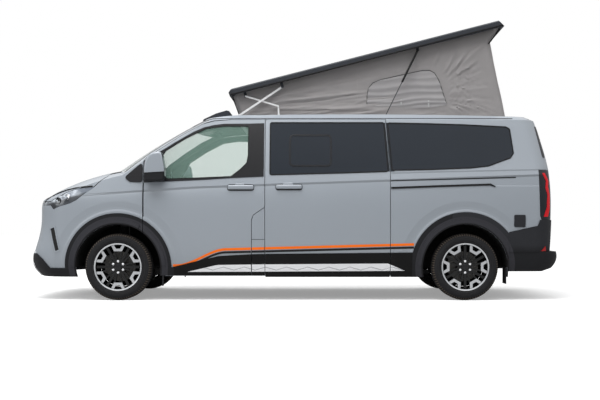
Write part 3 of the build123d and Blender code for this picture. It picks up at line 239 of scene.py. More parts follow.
# %% [markdown]
# ## Colours
# A colour card gives paint as numbers from 0 to 255, spaced as the eye sees them. The renderer counts light
# instead, so one helper turns card numbers into light and another makes a colour darker or paler.

# %% Colour tools
def rgb(red, green, blue):
    """A linear colour from the 0 to 255 numbers of a colour card."""
    return tuple((c / 255 / 12.92 if c <= 10 else ((c / 255 + 0.055) / 1.055) ** 2.4)
                 for c in (red, green, blue)) + (1.0,)


def shade(colour, amount):
    """A colour made darker by an amount under 1, or paler by one over 1."""
    return tuple(min(1, c * amount) for c in colour[:3]) + (1,)


print("a mid grey card is", [round(c, 3) for c in rgb(160, 167, 174)])

# %% [markdown]
# ## Light
# The light is a bright overcast dome, white all round, with a wide soft lamp above and a smaller one off the
# front corner. What paint or a mirror sees of the dome is graded from bright sky to darker ground, because a
# glossy panel shows its shape only when it has something to reflect. The camera itself, also through glass,
# sees plain white.

# %% World and lamps
world = bpy.data.worlds.new("overcast")
world.use_nodes = True
scene.world = world
sky = world.node_tree
sky.nodes.clear()
SKY_STOPS = [(0.0, (0.10, 0.10, 0.10, 1)), (0.485, (0.15, 0.15, 0.15, 1)), (0.505, (0.33, 0.34, 0.35, 1)),
             (0.60, (0.46, 0.47, 0.48, 1)), (0.78, (0.92, 0.92, 0.92, 1)), (1.0, (1.0, 1.0, 1.0, 1))]
coordinates = sky.nodes.new("ShaderNodeTexCoord")
split = sky.nodes.new("ShaderNodeSeparateXYZ")
sky.links.new(coordinates.outputs["Generated"], split.inputs[0])
# The upward direction runs from -1 to 1, and the ramp from 0 to 1.
upward = sky.nodes.new("ShaderNodeMath")
upward.operation = "MULTIPLY_ADD"
upward.inputs[1].default_value = upward.inputs[2].default_value = 0.5
sky.links.new(split.outputs[2], upward.inputs[0])
ramp = sky.nodes.new("ShaderNodeValToRGB")
for _ in range(len(SKY_STOPS) - 2):
    ramp.color_ramp.elements.new(0.5)
for element, (place, colour) in zip(ramp.color_ramp.elements, SKY_STOPS):
    element.position, element.color = place, colour
sky.links.new(upward.outputs[0], ramp.inputs[0])
rays = sky.nodes.new("ShaderNodeLightPath")
seen = sky.nodes.new("ShaderNodeMath")
seen.operation = "MAXIMUM"
sky.links.new(rays.outputs["Is Camera Ray"], seen.inputs[0])
sky.links.new(rays.outputs["Is Transmission Ray"], seen.inputs[1])
whiten = sky.nodes.new("ShaderNodeMix")
whiten.data_type = "RGBA"
sky.links.new(seen.outputs[0], whiten.inputs[0])
sky.links.new(ramp.outputs[0], whiten.inputs[6])
whiten.inputs[7].default_value = (1, 1, 1, 1)
glow = sky.nodes.new("ShaderNodeBackground")
glow.inputs["Strength"].default_value = 1.0
sky.links.new(whiten.outputs[2], glow.inputs["Color"])
output = sky.nodes.new("ShaderNodeOutputWorld")
sky.links.new(glow.outputs[0], output.inputs[0])


def soft_lamp(name, place, target, size, power):
    """A wide square lamp aimed at a point."""
    lamp = bpy.data.objects.new(name, bpy.data.lights.new(name, "AREA"))
    lamp.data.shape = "SQUARE"
    lamp.data.size = size
    lamp.data.energy = power
    lamp.location = place
    lamp.rotation_euler = (Vector(target) - Vector(place)).to_track_quat("-Z", "Y").to_euler()
    scene.collection.objects.link(lamp)
    return lamp


soft_lamp("lamp_above", (-1.0, -2.6, 7.5), (0, 0, 1), 6.0, 560)
soft_lamp("lamp_front", (-7.5, -5.5, 3.4), (-1.5, 0, 1.0), 3.5, 60)
print("world strength", glow.inputs["Strength"].default_value)

# %% [markdown]
# ## Floor
# A studio floor is a white sheet that goes on far behind the van and catches the soft shadow under its
# tyres. To the camera it glows a little, so it fades into the white behind. To the panels it is mid grey, as
# a road is, so that the van's lower half doesn't turn pale.

# %% Floor
FLOOR_SIZE = 120
floor_mesh = bmesh.new()
bmesh.ops.create_grid(floor_mesh, x_segments=1, y_segments=1, size=FLOOR_SIZE / 2)
floor = bpy.data.objects.new("floor", bpy.data.meshes.new("floor"))
floor_mesh.to_mesh(floor.data)
floor_mesh.free()
scene.collection.objects.link(floor)
floor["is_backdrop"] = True
floor_finish = Finish("floor_white", Roughness=0.95, Specular_IOR_Level=0.0, Base_Color=(0.86, 0.86, 0.86, 1))
path = floor_finish.node("ShaderNodeLightPath", {}, out="Is Camera Ray")
grain = floor_finish.noise(3.0, 3.0)
pale = floor_finish.mix(grain, (0.87, 0.87, 0.87, 1), (0.90, 0.90, 0.90, 1))
glow_level = path * 0.30
floor_finish.link(Base_Color=floor_finish.mix(path, (0.42, 0.42, 0.42, 1), pale),
                  Emission_Color=floor_finish.mix(glow_level, (0, 0, 0, 1), (1, 1, 1, 1)))
floor_finish.shader.inputs["Emission Strength"].default_value = 1.0
floor.data.materials.append(floor_finish.material)
print("floor", FLOOR_SIZE, "m wide")

# %% [markdown]
# ## Where the wheels are
# Several finishes change with their place on the van: a lip is pressed round each wheel arch, and dust lies
# on the tyres' shoulders. Both need to know how far a point is from the nearer axle. The two axles lie the
# same way off the middle between them, so one formula serves both.

# %% Axles
FRONT_AXLE, REAR_AXLE, AXLE_Z = -1.765, 1.735, 0.337
AXLE_MIDDLE, HALF_WHEELBASE = (FRONT_AXLE + REAR_AXLE) / 2, (REAR_AXLE - FRONT_AXLE) / 2


def from_wheel(x, z):
    """How far a point is from the nearer axle: fore and aft, upwards, and straight."""
    flat, up = abs(x - AXLE_MIDDLE) - HALF_WHEELBASE, z - AXLE_Z
    return flat, up, (flat * flat + up * up).math("SQRT")


def ramp_up(position, start, width):
    """Goes from 0 to 1 over a width."""
    return ((position - start) / width).clamp()


print("wheelbase", round(2 * HALF_WHEELBASE, 3), "metres")

# %% [markdown]
# ## Body paint
# Body paint is a solid light grey under clear lacquer. The same steel panel is bare trim on the inside, so
# the paint looks at which way the surface points and turns to dark trim where it faces the cabin. The lines
# pressed into the sides are only millimetres deep: a shoulder from nose to tail, a belt line behind and a
# lip round each wheel arch. They could be modelled, but as height in the paint they stay crisp on any mesh.

# %% Body paint
PAINT = rgb(152, 159, 167)
TRIM_INSIDE = rgb(52, 53, 56)
LIP_DEPTH, LIP_OUTER_R = 0.0070, 0.66


def inward(finish):
    """1 where a side panel's surface faces the cabin."""
    _, y, z = finish.axes()
    _, ny, nz = finish.facing()
    return ((ny * y) < -0.12).either((nz * (z > 1.4)) < -0.35)


def creases(finish):
    """Height of the pressed lines in the side panels, in metres: shoulder, belt and wheel arch lips."""
    x, _, z = finish.axes()
    _, ny, _ = finish.facing()
    shoulder = x * 0.036 + 1.160 - (x * -1 - 1.0).math("MAXIMUM", 0) * 0.031
    belt = (x - 1.0) * 0.024 + 1.275
    height = ramp_up(z, shoulder, 0.022) * 0.0125
    height = height + ramp_up(z, belt, 0.014) * (x > 0.98) * 0.0055
    height = height + ramp_up(z, 1.148, 0.010) * (x > 2.03) * -0.0042
    for axle_x in (FRONT_AXLE, REAR_AXLE):
        flat, up = x - axle_x, z - AXLE_Z
        radius = (flat * flat + up * up).math("SQRT")
        height = height - ramp_up(radius, 0.560, 0.020) * (radius < LIP_OUTER_R) * LIP_DEPTH
        height = height + ramp_up(radius, 0.60, 0.06) * (radius < LIP_OUTER_R) * LIP_DEPTH
    return height * (abs(ny) > 0.45)


def body_paint(name, colour=PAINT, pressed=True):
    """Lacquered paint, with the pressed lines and the cabin's trim where it is meant for a side panel."""
    paint = Finish(name, Roughness=0.34, Coat_Weight=0.6, Coat_Roughness=0.06, Metallic=0.0)
    cloud = paint.noise(1.6, 2.0)
    toned = paint.mix(cloud, shade(colour, 0.985), shade(colour, 1.015))
    if not pressed:
        paint.link(Base_Color=toned)
        return paint.bump(paint.noise(420, 1.0), 0.05, 0.0006).material
    cabin = inward(paint)
    paint.link(Base_Color=paint.mix(cabin, toned, TRIM_INSIDE), Roughness=cabin * 0.45 + 0.34,
               Coat_Weight=(1 - cabin) * 0.6)
    return paint.bump(creases(paint) + paint.noise(420, 1.0) * 0.00003, 1.0, 1.0).material


paint = body_paint("paint_light_grey")
paint_plain = body_paint("paint_small_parts", pressed=False)
print("body paint", [round(c, 3) for c in PAINT[:3]])

# %% [markdown]
# ## Plastics
# Moulded plastic takes a leather-like grain from its mould and wears paler in patches. Gloss plastic
# is smooth and nearly even, with a little haze. Both are helpers that take a colour, because a van has many
# parts of the same stuff in different shades.

# %% Plastics
def grained_plastic(name, colour, roughness=0.62, scale=900, depth=0.0004):
    """Moulded plastic with a fine leather-like grain and slightly worn patches."""
    plastic = Finish(name, Roughness=roughness, Specular_IOR_Level=0.3)
    grain = plastic.noise(scale, 2.0)
    wear = plastic.noise(6.0, 3.0)
    plastic.link(Base_Color=plastic.mix(wear, shade(colour, 0.88), shade(colour, 1.14)),
                 Roughness=wear * 0.12 + (roughness - 0.06))
    return plastic.bump(grain, 0.35, depth).material


def gloss_plastic(name, colour, roughness=0.12):
    """Smooth plastic under a thin lacquer."""
    plastic = Finish(name, Roughness=roughness, Coat_Weight=0.12, Coat_Roughness=0.04,
                     Specular_IOR_Level=0.35)
    haze = plastic.noise(14.0, 3.0)
    return plastic.link(Base_Color=plastic.mix(haze, colour, shade(colour, 1.12)),
                        Roughness=haze * 0.05 + roughness).material


print("grained and gloss plastic ready")

# %% [markdown]
# ## Metals
# Bare metal shows the lines of its drawing or grinding, so its noise is stretched along them. A coated part
# shows the mottle of its coating and is hardly a metal to look at.

# %% Metals
def bare_metal(name, colour, roughness, brushed=(40, 40, 40)):
    """Metal with fine drawn lines; a larger number draws the lines closer along that axis."""
    metal = Finish(name, Metallic=1.0, Roughness=roughness)
    stretched = metal.node("ShaderNodeMapping", {}, metal.place(), Scale=brushed)
    streaks = metal.noise(1.0, 4.0, 0.6, stretched)
    metal.link(Base_Color=metal.mix(streaks, shade(colour, 0.86), colour),
               Roughness=streaks * 0.14 + (roughness - 0.07))
    return metal.bump(streaks, 0.08, 0.0005).material


def coated_metal(name, colour, roughness=0.5):
    """Cast or pressed metal under a mottled coating."""
    metal = Finish(name, Roughness=roughness, Metallic=0.2)
    mottle = metal.noise(40.0, 4.0)
    metal.link(Base_Color=metal.mix(mottle, shade(colour, 0.75), shade(colour, 1.25)),
               Roughness=mottle * 0.2 + (roughness - 0.1))
    return metal.bump(mottle, 0.2, 0.0008).material


print("bare and coated metal ready")

# %% [markdown]
# ## Glass
# Car glass is thin and tinted, and a faint film on it catches the light. The export keeps a colour and an
# opacity rather than real refraction, so the tint is an opacity here too. A windscreen also has a black
# band printed along its edge, which hides the glue. The band follows the pillar in four straight runs.

# %% Glass
# Columns: place along the van, slope, height there
PILLAR_EDGE = ((-1.700, 0.850, 1.292), (-1.500, 0.685, 1.462), (-1.322, 0.624, 1.584), (-1.120, 0.505, 1.710))
BAND_WIDTH, ROOF_BAND_Z = 0.020, 1.800


def window_glass(name, colour, alpha):
    """Tinted glass with a faint film on it."""
    glass = Finish(name, Roughness=0.02, IOR=1.5, Specular_IOR_Level=0.45)
    film = glass.noise(2.4, 2.0)
    tint = glass.mix(film, colour, shade(colour, 1.12))
    return glass.link(Base_Color=tint, Alpha=film * 0.03 + (alpha - 0.015)).material


def screen_glass(name, colour, alpha):
    """Windscreen glass with the black printed band that hides the glue along both pillars and the roof."""
    glass = Finish(name, Roughness=0.02, IOR=1.5, Specular_IOR_Level=0.45)
    x, _, z = glass.axes()
    runs = [(x - start) * slope + height for start, slope, height in PILLAR_EDGE]
    pillar = runs[0]
    for run in runs[1:]:
        pillar = pillar.math("MINIMUM", run)
    band = (z < pillar + BAND_WIDTH).either(z > ROOF_BAND_Z)
    film = glass.noise(2.4, 2.0)
    tint = glass.mix(film, colour, shade(colour, 1.1))
    glass.link(Base_Color=glass.mix(band, tint, rgb(16, 17, 18)),
               Alpha=band.either(film * 0.03 + (alpha - 0.015)))
    return glass.material


print("glass ready, band", BAND_WIDTH, "metres wide")

# %% [markdown]
# ## Cloth
# The tent and the seats are plain weave: threads that cross over and under. Two crossing waves give that
# relief, and a slow drift of colour keeps a large sheet from looking printed.

# %% Cloth
def woven_cloth(name, colour, threads=1400, depth=0.0005):
    """Plain weave from two crossing waves, with slow colour drift."""
    cloth = Finish(name, Roughness=0.92, Sheen_Weight=0.15)
    x, y, z = cloth.axes()
    warp = (x * threads).math("SINE")
    weft = ((z + y) * threads).math("SINE")
    drift = cloth.noise(5.0, 4.0)
    cloth.link(Base_Color=cloth.mix(drift, shade(colour, 0.86), shade(colour, 1.12)))
    return cloth.bump(warp * weft + cloth.noise(300, 2.0), 0.3, depth).material


print("woven cloth ready")

# %% [markdown]
# ## Tyre rubber
# A used tyre is black on its tread, a little greyer on its side wall, and dusty on the shoulder, where the
# blocks end. The dust sits on every other piece of the shoulder, in step with the blocks that are cut later.

# %% Tyre rubber
TREAD_STEPS = 84


def tyre_rubber(name):
    """Black rubber with a greyer side wall and road dust on the shoulder blocks."""
    tyre = Finish(name, Roughness=0.82, Specular_IOR_Level=0.3)
    x, _, z = tyre.axes()
    flat, up, radius = from_wheel(x, z)
    shoulder = (radius > 0.3135).both(radius < 0.3345)
    block = (up.math("ARCTAN2", flat) * TREAD_STEPS).math("SINE") > 0.1
    scuff = tyre.noise(60.0, 3.0)
    wall = tyre.mix(scuff, rgb(27, 27, 29), rgb(38, 38, 40))
    dust = tyre.mix(scuff, rgb(62, 57, 53), rgb(94, 84, 74))
    dusty = tyre.mix(block, rgb(20, 19, 19), dust)
    tyre.link(Base_Color=tyre.mix(shoulder, wall, dusty))
    return tyre.bump(tyre.noise(260, 2.0), 0.35, 0.0006).material


print("tyre rubber ready for", TREAD_STEPS, "blocks")

# %% [markdown]
# ## Lower trim
# The lower body is covered with dark grained plastic. The sill is painted darker. Round a wheel arch the edge
# is a paler band with a dark inner lip, and the rear corner is a shade paler higher up: the pale band and the
# pale corner are painted highlight where they face the light, and the dark lip is painted shade where it
# turns into the arch. All of it is the same plastic, so it is one material that looks at its place.

# %% Lower trim
def lower_trim(name):
    """Grained trim that turns darker along the sill, where it is painted."""
    trim = Finish(name, Roughness=0.6, Specular_IOR_Level=0.22)
    x, _, z = trim.axes()
    _, _, radius = from_wheel(x, z)
    wear = trim.noise(6.0, 3.0)
    sill = (z < 0.476).both(x > -1.20).both(x < 1.20)
    arch = (radius < 0.505).both(radius > 0.36)
    # painted highlight on the outer band round the arch, and painted shade on the inner lip where it turns in
    arch_band_highlight = arch.both(radius > 0.446)
    arch_lip_shade = arch.both(radius < 0.440)
    # painted highlight: the rear corner is paler higher up, where its upper facet faces the light
    upper_highlight = ramp_up(z, 0.50, 0.06).both(x > 1.60)
    fresh = trim.mix(upper_highlight, rgb(27, 27, 30), rgb(40, 41, 45))
    worn = trim.mix(upper_highlight, rgb(33, 34, 37), rgb(47, 48, 52))
    grey = trim.mix(wear, fresh, worn)
    grey = trim.mix(arch_band_highlight, grey, rgb(54, 54, 59))
    grey = trim.mix(arch_lip_shade, grey, rgb(30, 29, 32))
    trim.link(Base_Color=trim.mix(sill, grey, rgb(13, 13, 14)), Roughness=wear * 0.12 + 0.54)
    return trim.bump(trim.noise(900, 2.0), 0.3, 0.0004).material


cladding = lower_trim("cladding_black")
print("paint and plastic made")

# %% [markdown]
# ## Finishes for the frame's own pieces
# Every piece of the CAD frame names the stuff it is made of. A table gives each stuff its finish, so one
# loop dresses the whole van. Only the windscreen needs a finish of its own, for its black band.

# %% Materials for the CAD nodes
FINISHES = {
    "paint": paint,
    "cladding": cladding,
    "clear_glass": window_glass("glass_clear", rgb(158, 194, 180), 0.18),
    "privacy_glass": window_glass("glass_privacy", rgb(27, 34, 43), 0.955),
    "gloss_black": gloss_plastic("plastic_gloss_black", rgb(18, 18, 20)),
    "headlamp": window_glass("lens_clear", rgb(190, 198, 204), 0.12),
    "tail_lamp": gloss_plastic("lamp_dark", rgb(34, 36, 41), 0.1),
    "liner": grained_plastic("liner_felt", rgb(9, 9, 9), 0.97, 500, 0.001),
    "underbody": coated_metal("underbody_coating", rgb(16, 16, 17), 0.8),
    "roof_shell": grained_plastic("roof_shell_grey", rgb(46, 49, 55), 0.5, 700, 0.0003),
    "link_metal": coated_metal("link_silver", rgb(236, 237, 239), 0.4),
    "dash": grained_plastic("dashboard_grey", rgb(44, 45, 48), 0.7),
    "seat": woven_cloth("seat_cloth", rgb(58, 59, 63)),
    "furniture": grained_plastic("furniture_board", rgb(176, 172, 164), 0.45, 60, 0.0002),
    "engine": coated_metal("engine_casting", rgb(70, 70, 72), 0.6),
    "brake": bare_metal("brake_iron", rgb(120, 118, 115), 0.42, (90, 90, 90)),
    "exhaust": bare_metal("exhaust_steel", rgb(120, 116, 110), 0.5, (10, 200, 200)),
    "tank": grained_plastic("tank_moulding", rgb(26, 26, 27), 0.6, 200),
    "canvas": woven_cloth("canvas_grey", rgb(147, 144, 144)),
    "tyre": tyre_rubber("tyre_rubber"),
    "rim": gloss_plastic("rim_black", rgb(24, 24, 26), 0.25),
    "strut": gloss_plastic("strut_black", rgb(8, 8, 9), 0.4),
    "rod": coated_metal("rod_steel", rgb(66, 66, 69), 0.35),
}
windscreen_glass = screen_glass("glass_windscreen", rgb(132, 152, 148), 0.26)
for name, node in frame["nodes"].items():
    node.data.materials.clear()
    node.data.materials.append(windscreen_glass if name == "windscreen" else FINISHES[slot_of[name]])
print(len(FINISHES), "finishes on", len(frame["nodes"]), "nodes")

# %% [markdown]
# ## Helpers for making pieces
# Most trim on a van is thin and follows the panel under it: foils, mouldings, window frames, rubbers. Its
# outline is drawn as a maker would mark it on the side of the van, and the shape is cut out of the panel's
# own skin, lifted a little and given a thickness. So it lies on the metal everywhere, also round corners.

# %% Outlines
def pairs(points):
    """The sides of a closed outline, each as its two ends."""
    return zip(points, points[1:] + points[:1])


def rounded(points, radius, steps=4):
    """A closed outline with its corners turned into soft bends."""
    made = []
    for before, here, after in zip(points[-1:] + points[:-1], points, points[1:] + points[:1]):
        corner = Vector(here)
        into, onward = Vector(before) - corner, Vector(after) - corner
        turn = max(0.2, into.angle(onward))
        cut = min(radius / math.tan(turn / 2), into.length * 0.48, onward.length * 0.48)
        start, end = corner + into.normalized() * cut, corner + onward.normalized() * cut
        for i in range(steps + 1):
            t = i / steps
            made.append(tuple(start.lerp(corner, t).lerp(corner.lerp(end, t), t)))
    return made


def grown(points, distance):
    """A closed outline moved outwards by a distance, or inwards by a negative one."""
    area = sum(a[0] * b[1] - b[0] * a[1] for a, b in pairs(points))
    turn = 1 if area > 0 else -1
    made = []
    for before, here, after in zip(points[-1:] + points[:-1], points, points[1:] + points[:1]):
        first = (Vector(here) - Vector(before)).normalized()
        second = (Vector(after) - Vector(here)).normalized()
        out_first, out_second = (Vector((d.y, -d.x)) * turn for d in (first, second))
        middle = (out_first + out_second).normalized()
        made.append(tuple(Vector(here) + middle * distance / max(0.4, middle.dot(out_first))))
    return made


def inside(u, v, outline):
    """Whether a point lies within a closed outline: a line to it crosses the sides an odd number of times."""
    odd = False
    for (u0, v0), (u1, v1) in pairs(outline):
        if (v0 > v) != (v1 > v) and u < (u1 - u0) * (v - v0) / (v1 - v0) + u0:
            odd = not odd
    return odd


print("outline tools ready")

# %% [markdown]
# ## Pieces
# Every part that is added becomes an object at the origin with its place in its mesh, as the frame's own
# pieces are.

# %% Pieces from meshes
SMOOTH_ANGLE = math.radians(35)


def piece(name, mesh, finish, body, recalculate=True):
    """Makes a bmesh an object at the origin that rides on a body, smooth except at its real edges."""
    if recalculate:
        bmesh.ops.recalc_face_normals(mesh, faces=mesh.faces)
    for edge in mesh.edges:
        edge.smooth = len(edge.link_faces) == 2 and edge.calc_face_angle(0.0) < SMOOTH_ANGLE
    for face in mesh.faces:
        face.smooth = True
    data = bpy.data.meshes.new(name)
    mesh.to_mesh(data)
    mesh.free()
    data.materials.append(finish)
    made = bpy.data.objects.new(name, data)
    scene.collection.objects.link(made)
    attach(made, body)
    return made


print("pieces are smooth up to", round(math.degrees(SMOOTH_ANGLE)), "degrees")

# %% [markdown]
# ## Cutting from the skin
# A foil or a moulding is cut like leather from a hide: take the outermost faces of the panels that look
# sideways, cut them along the outline, lift them by a hair and thicken them. Faces that something else
# covers, seen from outside, are dropped first, or the patch would also be cut from the panel's inner wall.

# %% Skin tools
# Nothing nearer to the van's middle than this is its outer skin.
NEAR_MIDDLE = 0.3


def skin_of(nodes, axis, side, facing=0.25):
    """The outermost faces of CAD nodes that look along an axis."""

    def turned(face):
        return face.normal[axis] * side < facing or face.calc_center_median()[axis] * side < NEAR_MIDDLE

    skin = bmesh.new()
    for node in nodes:
        skin.from_mesh(frame["nodes"][node].data)
    bmesh.ops.remove_doubles(skin, verts=skin.verts, dist=2e-5)
    skin.normal_update()
    bmesh.ops.delete(skin, geom=[f for f in skin.faces if turned(f)], context="FACES")
    tree = BVHTree.FromBMesh(skin)
    outward = Vector((0, 0, 0))
    outward[axis] = side
    covered = [f for f in skin.faces if tree.ray_cast(f.calc_center_median() + outward * 0.002, outward)[0]]
    bmesh.ops.delete(skin, geom=covered, context="FACES")
    return skin


def skin_patch(name, nodes, outline, finish, body, slot, holes=(), axis=1, side=-1, lift=0.0006, thick=0.0016,
               facing=0.25):
    """A thin piece cut from the skin of CAD nodes by an outline seen along an axis."""
    patch = skin_of(nodes, axis, side, facing)
    across = 1 - axis
    us, vs = [p[0] for p in outline], [p[1] for p in outline]

    def beyond(face):
        u = [v.co[across] for v in face.verts]
        v = [v.co.z for v in face.verts]
        return max(u) < min(us) or min(u) > max(us) or max(v) < min(vs) or min(v) > max(vs)

    bmesh.ops.delete(patch, geom=[f for f in patch.faces if beyond(f)], context="FACES")
    along = Vector((0, 0, 0))
    along[axis] = 1
    for ring in (outline, *holes):
        for (u0, v0), (u1, v1) in pairs(ring):
            run, start = Vector((0, 0, v1 - v0)), Vector((0, 0, v0))
            run[across], start[across] = u1 - u0, u0
            if run.length > 1e-6:
                bmesh.ops.bisect_plane(patch, geom=[*patch.verts, *patch.edges, *patch.faces], dist=1e-6,
                                       plane_co=start, plane_no=run.cross(along))

    def outside(face):
        middle = face.calc_center_median()
        u, v = middle[across], middle.z
        return not inside(u, v, outline) or any(inside(u, v, hole) for hole in holes)

    bmesh.ops.delete(patch, geom=[f for f in patch.faces if outside(f)], context="FACES")
    bmesh.ops.dissolve_limit(patch, angle_limit=math.radians(0.4), verts=patch.verts, edges=patch.edges)
    patch.normal_update()
    for vert in patch.verts:
        vert.co += vert.normal * lift
    raised = bmesh.ops.extrude_face_region(patch, geom=patch.faces[:], use_keep_orig=True)["geom"]
    patch.normal_update()
    tops = [item for item in raised if isinstance(item, bmesh.types.BMVert)]
    for vert in tops:
        vert.co += vert.normal * thick
    return piece(name, patch, finish, body)


def touch(nodes, u, v, axis=1, side=-1):
    """Where a ray from outside meets the skin of CAD nodes, with the direction that the skin faces."""
    skin = skin_of(nodes, axis, side)
    start, inward_way = Vector((0, 0, v)), Vector((0, 0, 0))
    start[1 - axis], start[axis] = u, side * 4
    inward_way[axis] = -side
    place, normal, _, _ = BVHTree.FromBMesh(skin).ray_cast(start, inward_way)
    skin.free()
    return place, normal


print("skin tools ready")

# %% [markdown]
# ## Blocks, turned shapes and bars
# What isn't cut from the skin is built the way a workshop would: from a block with rounded edges, from a
# profile turned on a lathe, or from a round bar bent along a line.

# %% Block, lathe and bar
def bevelled(mesh, width, segments=2, angle=30):
    """Rounds the sharp edges of a bmesh."""
    mesh.normal_update()
    sharp = [e for e in mesh.edges if len(e.link_faces) == 2 and e.calc_face_angle(0.0) > math.radians(angle)]
    bmesh.ops.bevel(mesh, geom=sharp, offset=width, offset_type="OFFSET", segments=segments, profile=0.5,
                    affect="EDGES", material=-1, clamp_overlap=True)
    return mesh


def brick(centre, size, round_by=0.0, segments=2, turn=None, mesh=None):
    """A box with rounded edges in a bmesh."""
    mesh = mesh or bmesh.new()
    fresh = bmesh.new()
    bmesh.ops.create_cube(fresh, size=1.0)
    bmesh.ops.scale(fresh, vec=size, verts=fresh.verts)
    if round_by:
        bevelled(fresh, round_by, segments)
    if turn:
        bmesh.ops.rotate(fresh, matrix=turn, verts=fresh.verts)
    bmesh.ops.translate(fresh, vec=centre, verts=fresh.verts)
    data = bpy.data.meshes.new("brick")
    fresh.to_mesh(data)
    fresh.free()
    mesh.from_mesh(data)
    bpy.data.meshes.remove(data)
    return mesh


def lathe(profile, centre, axis=(0, 1, 0), steps=64, mesh=None):
    """A turned shape. The profile is (radius, distance along the axis) pairs; a full turn about the axis."""
    mesh = mesh or bmesh.new()
    way = Vector(axis).normalized()
    arm = way.orthogonal().normalized()
    line = [mesh.verts.new(Vector(centre) + arm * r + way * d) for r, d in profile]
    edges = [mesh.edges.new(pair) for pair in zip(line, line[1:])]
    bmesh.ops.spin(mesh, geom=line + edges, cent=centre, axis=way, angle=math.tau, steps=steps,
                   use_merge=True)
    bmesh.ops.remove_doubles(mesh, verts=mesh.verts, dist=1e-5)
    return mesh


def wire(name, points, radius, finish, body, closed=False, sides=3):
    """A round bar, seam or cord along points, as a mesh."""
    curve = bpy.data.curves.new(name, "CURVE")
    curve.dimensions = "3D"
    curve.bevel_depth = radius
    curve.bevel_resolution = sides
    curve.use_fill_caps = True
    line = curve.splines.new("POLY")
    line.points.add(len(points) - 1)
    for spot, co in zip(line.points, points):
        spot.co = (*co, 1)
    line.use_cyclic_u = closed
    holder = bpy.data.objects.new(name + "_line", curve)
    scene.collection.objects.link(holder)
    bpy.context.view_layer.update()
    data = bpy.data.meshes.new_from_object(holder)
    bpy.data.objects.remove(holder)
    mesh = bmesh.new()
    mesh.from_mesh(data)
    bpy.data.meshes.remove(data)
    return piece(name, mesh, finish, body, recalculate=False)


SIDES = (("left", -1), ("right", 1))
print("piece tools ready")

# %% [markdown]
# ## Small parts' finishes
# Seals are dull rubber, foils and window frames are gloss plastic, and the bright insert in the sill is
# silver paint over plastic with a row of shallow waves pressed into it, and a grey line of painted shade
# along the waves' step. Each is one more call of a helper with a colour of its own; only the waves need a
# pattern that follows the van's length.

# %% More finishes
rubber = grained_plastic("seal_rubber", rgb(12, 12, 13), 0.7, 700)
pillar_black = gloss_plastic("pillar_black", rgb(26, 26, 29), 0.3)
orange = gloss_plastic("foil_orange", rgb(255, 112, 0), 0.5)
black_foil = gloss_plastic("foil_black", rgb(14, 14, 16), 0.45)
canvas_finish = FINISHES["canvas"]
blind_finish = woven_cloth("blind_grey", rgb(152, 150, 151), 900)
tie_light = woven_cloth("tie_webbing", rgb(176, 176, 178), 900)
zip_dark = grained_plastic("zip_dark", rgb(58, 58, 60), 0.7)


WAVE_MIDDLE_Z = 0.306


def pressed_silver(name):
    """Silver paint over plastic with a row of shallow pressed waves and painted shade along their step."""
    trim = Finish(name, Roughness=0.36, Metallic=0.0)
    x, _, z = trim.axes()
    zigzag = abs((x * 4.7 + 0.3).math("FRACT") - 0.5)
    wave = (zigzag * 0.06 + WAVE_MIDDLE_Z - z) / 0.006
    speck = trim.noise(700, 2.0)
    # painted shade: a grey line along the step of the pressed waves
    edge = (abs(wave) < 0.75).both(abs(z - 0.312) < 0.03)
    plain = trim.mix(speck, rgb(238, 239, 242), rgb(248, 249, 251))
    dark = trim.mix(edge * 0.75, plain, rgb(150, 152, 157))
    trim.link(Base_Color=dark, Roughness=speck * 0.1 + 0.3)
    return trim.bump(wave.clamp(), 1.0, 0.006).material

silver = pressed_silver("silver_insert")
chrome = bare_metal("chrome", rgb(225, 226, 228), 0.08, (30, 30, 30))
lamp_black = gloss_plastic("lamp_housing", rgb(20, 21, 24), 0.15)
red_lens = gloss_plastic("lens_bright_red", rgb(222, 10, 26), 0.08)
reflector = gloss_plastic("reflector_red", rgb(176, 12, 16), 0.2)
white_lens = gloss_plastic("lens_white", rgb(226, 229, 233), 0.06)
plate_white = coated_metal("plate_blank", rgb(214, 214, 208), 0.45)
print("trim finishes ready")

# %% [markdown]
# ## Window frames and pillars
# The windows look like one dark band. On the doors the frame is gloss black plastic round clear glass, with
# a wide black cover on the pillar behind it. On the sliding door and the quarter the dark glass itself is
# the band, and only a thin rubber edge and the small sliding pane's frame stand out.

# %% Door frames and rubbers
DOOR_GLASS = rounded([(-1.442, 1.262), (-1.25, 1.218), (-1.01, 1.226), (-0.622, 1.242), (-0.532, 1.312),
                      (-0.462, 1.382), (-0.448, 1.46), (-0.446, 1.766), (-0.70, 1.77), (-0.88, 1.745),
                      (-1.09, 1.64), (-1.29, 1.512)], 0.024)
DOOR_FRAME = [(-1.500, 1.186), (-1.2, 1.199), (-0.9, 1.213), (-0.6, 1.232), (-0.294, 1.246), (-0.294, 1.794),
              (-0.45, 1.790), (-0.70, 1.788), (-0.80, 1.776), (-0.90, 1.753), (-1.0, 1.709), (-1.1, 1.652),
              (-1.2, 1.592), (-1.3, 1.527), (-1.40, 1.468), (-1.500, 1.410)]
MIRROR_BASE = rounded([(-1.700, 1.236), (-1.640, 1.192), (-1.513, 1.186), (-1.513, 1.402)], 0.03)
for hand, side in SIDES:
    door = f"door_{hand}"
    skin_patch(f"door_frame_{hand}", (door, f"door_glass_{hand}"), DOOR_FRAME, pillar_black, door,
               "gloss_black", holes=[DOOR_GLASS], side=side, thick=0.003)
    skin_patch(f"door_rubber_{hand}", (f"door_glass_{hand}",), DOOR_GLASS, rubber, door, "cladding",
               holes=[grown(DOOR_GLASS, -0.009)], side=side, thick=0.003)
    skin_patch(f"mirror_base_{hand}", ("fenders", "roof_panel"), MIRROR_BASE, pillar_black, "root",
               "gloss_black", side=side, thick=0.006)
print("door frames on both sides")

# %% [markdown]
# ## Dark side windows
# The sliding door and the quarter have dark glass that is glued on from outside, with a thin rubber at its
# edge. A strip of the same dark glass covers the pillar between them on each side of the door gap. A small
# framed pane in the sliding door can be pushed open for air.

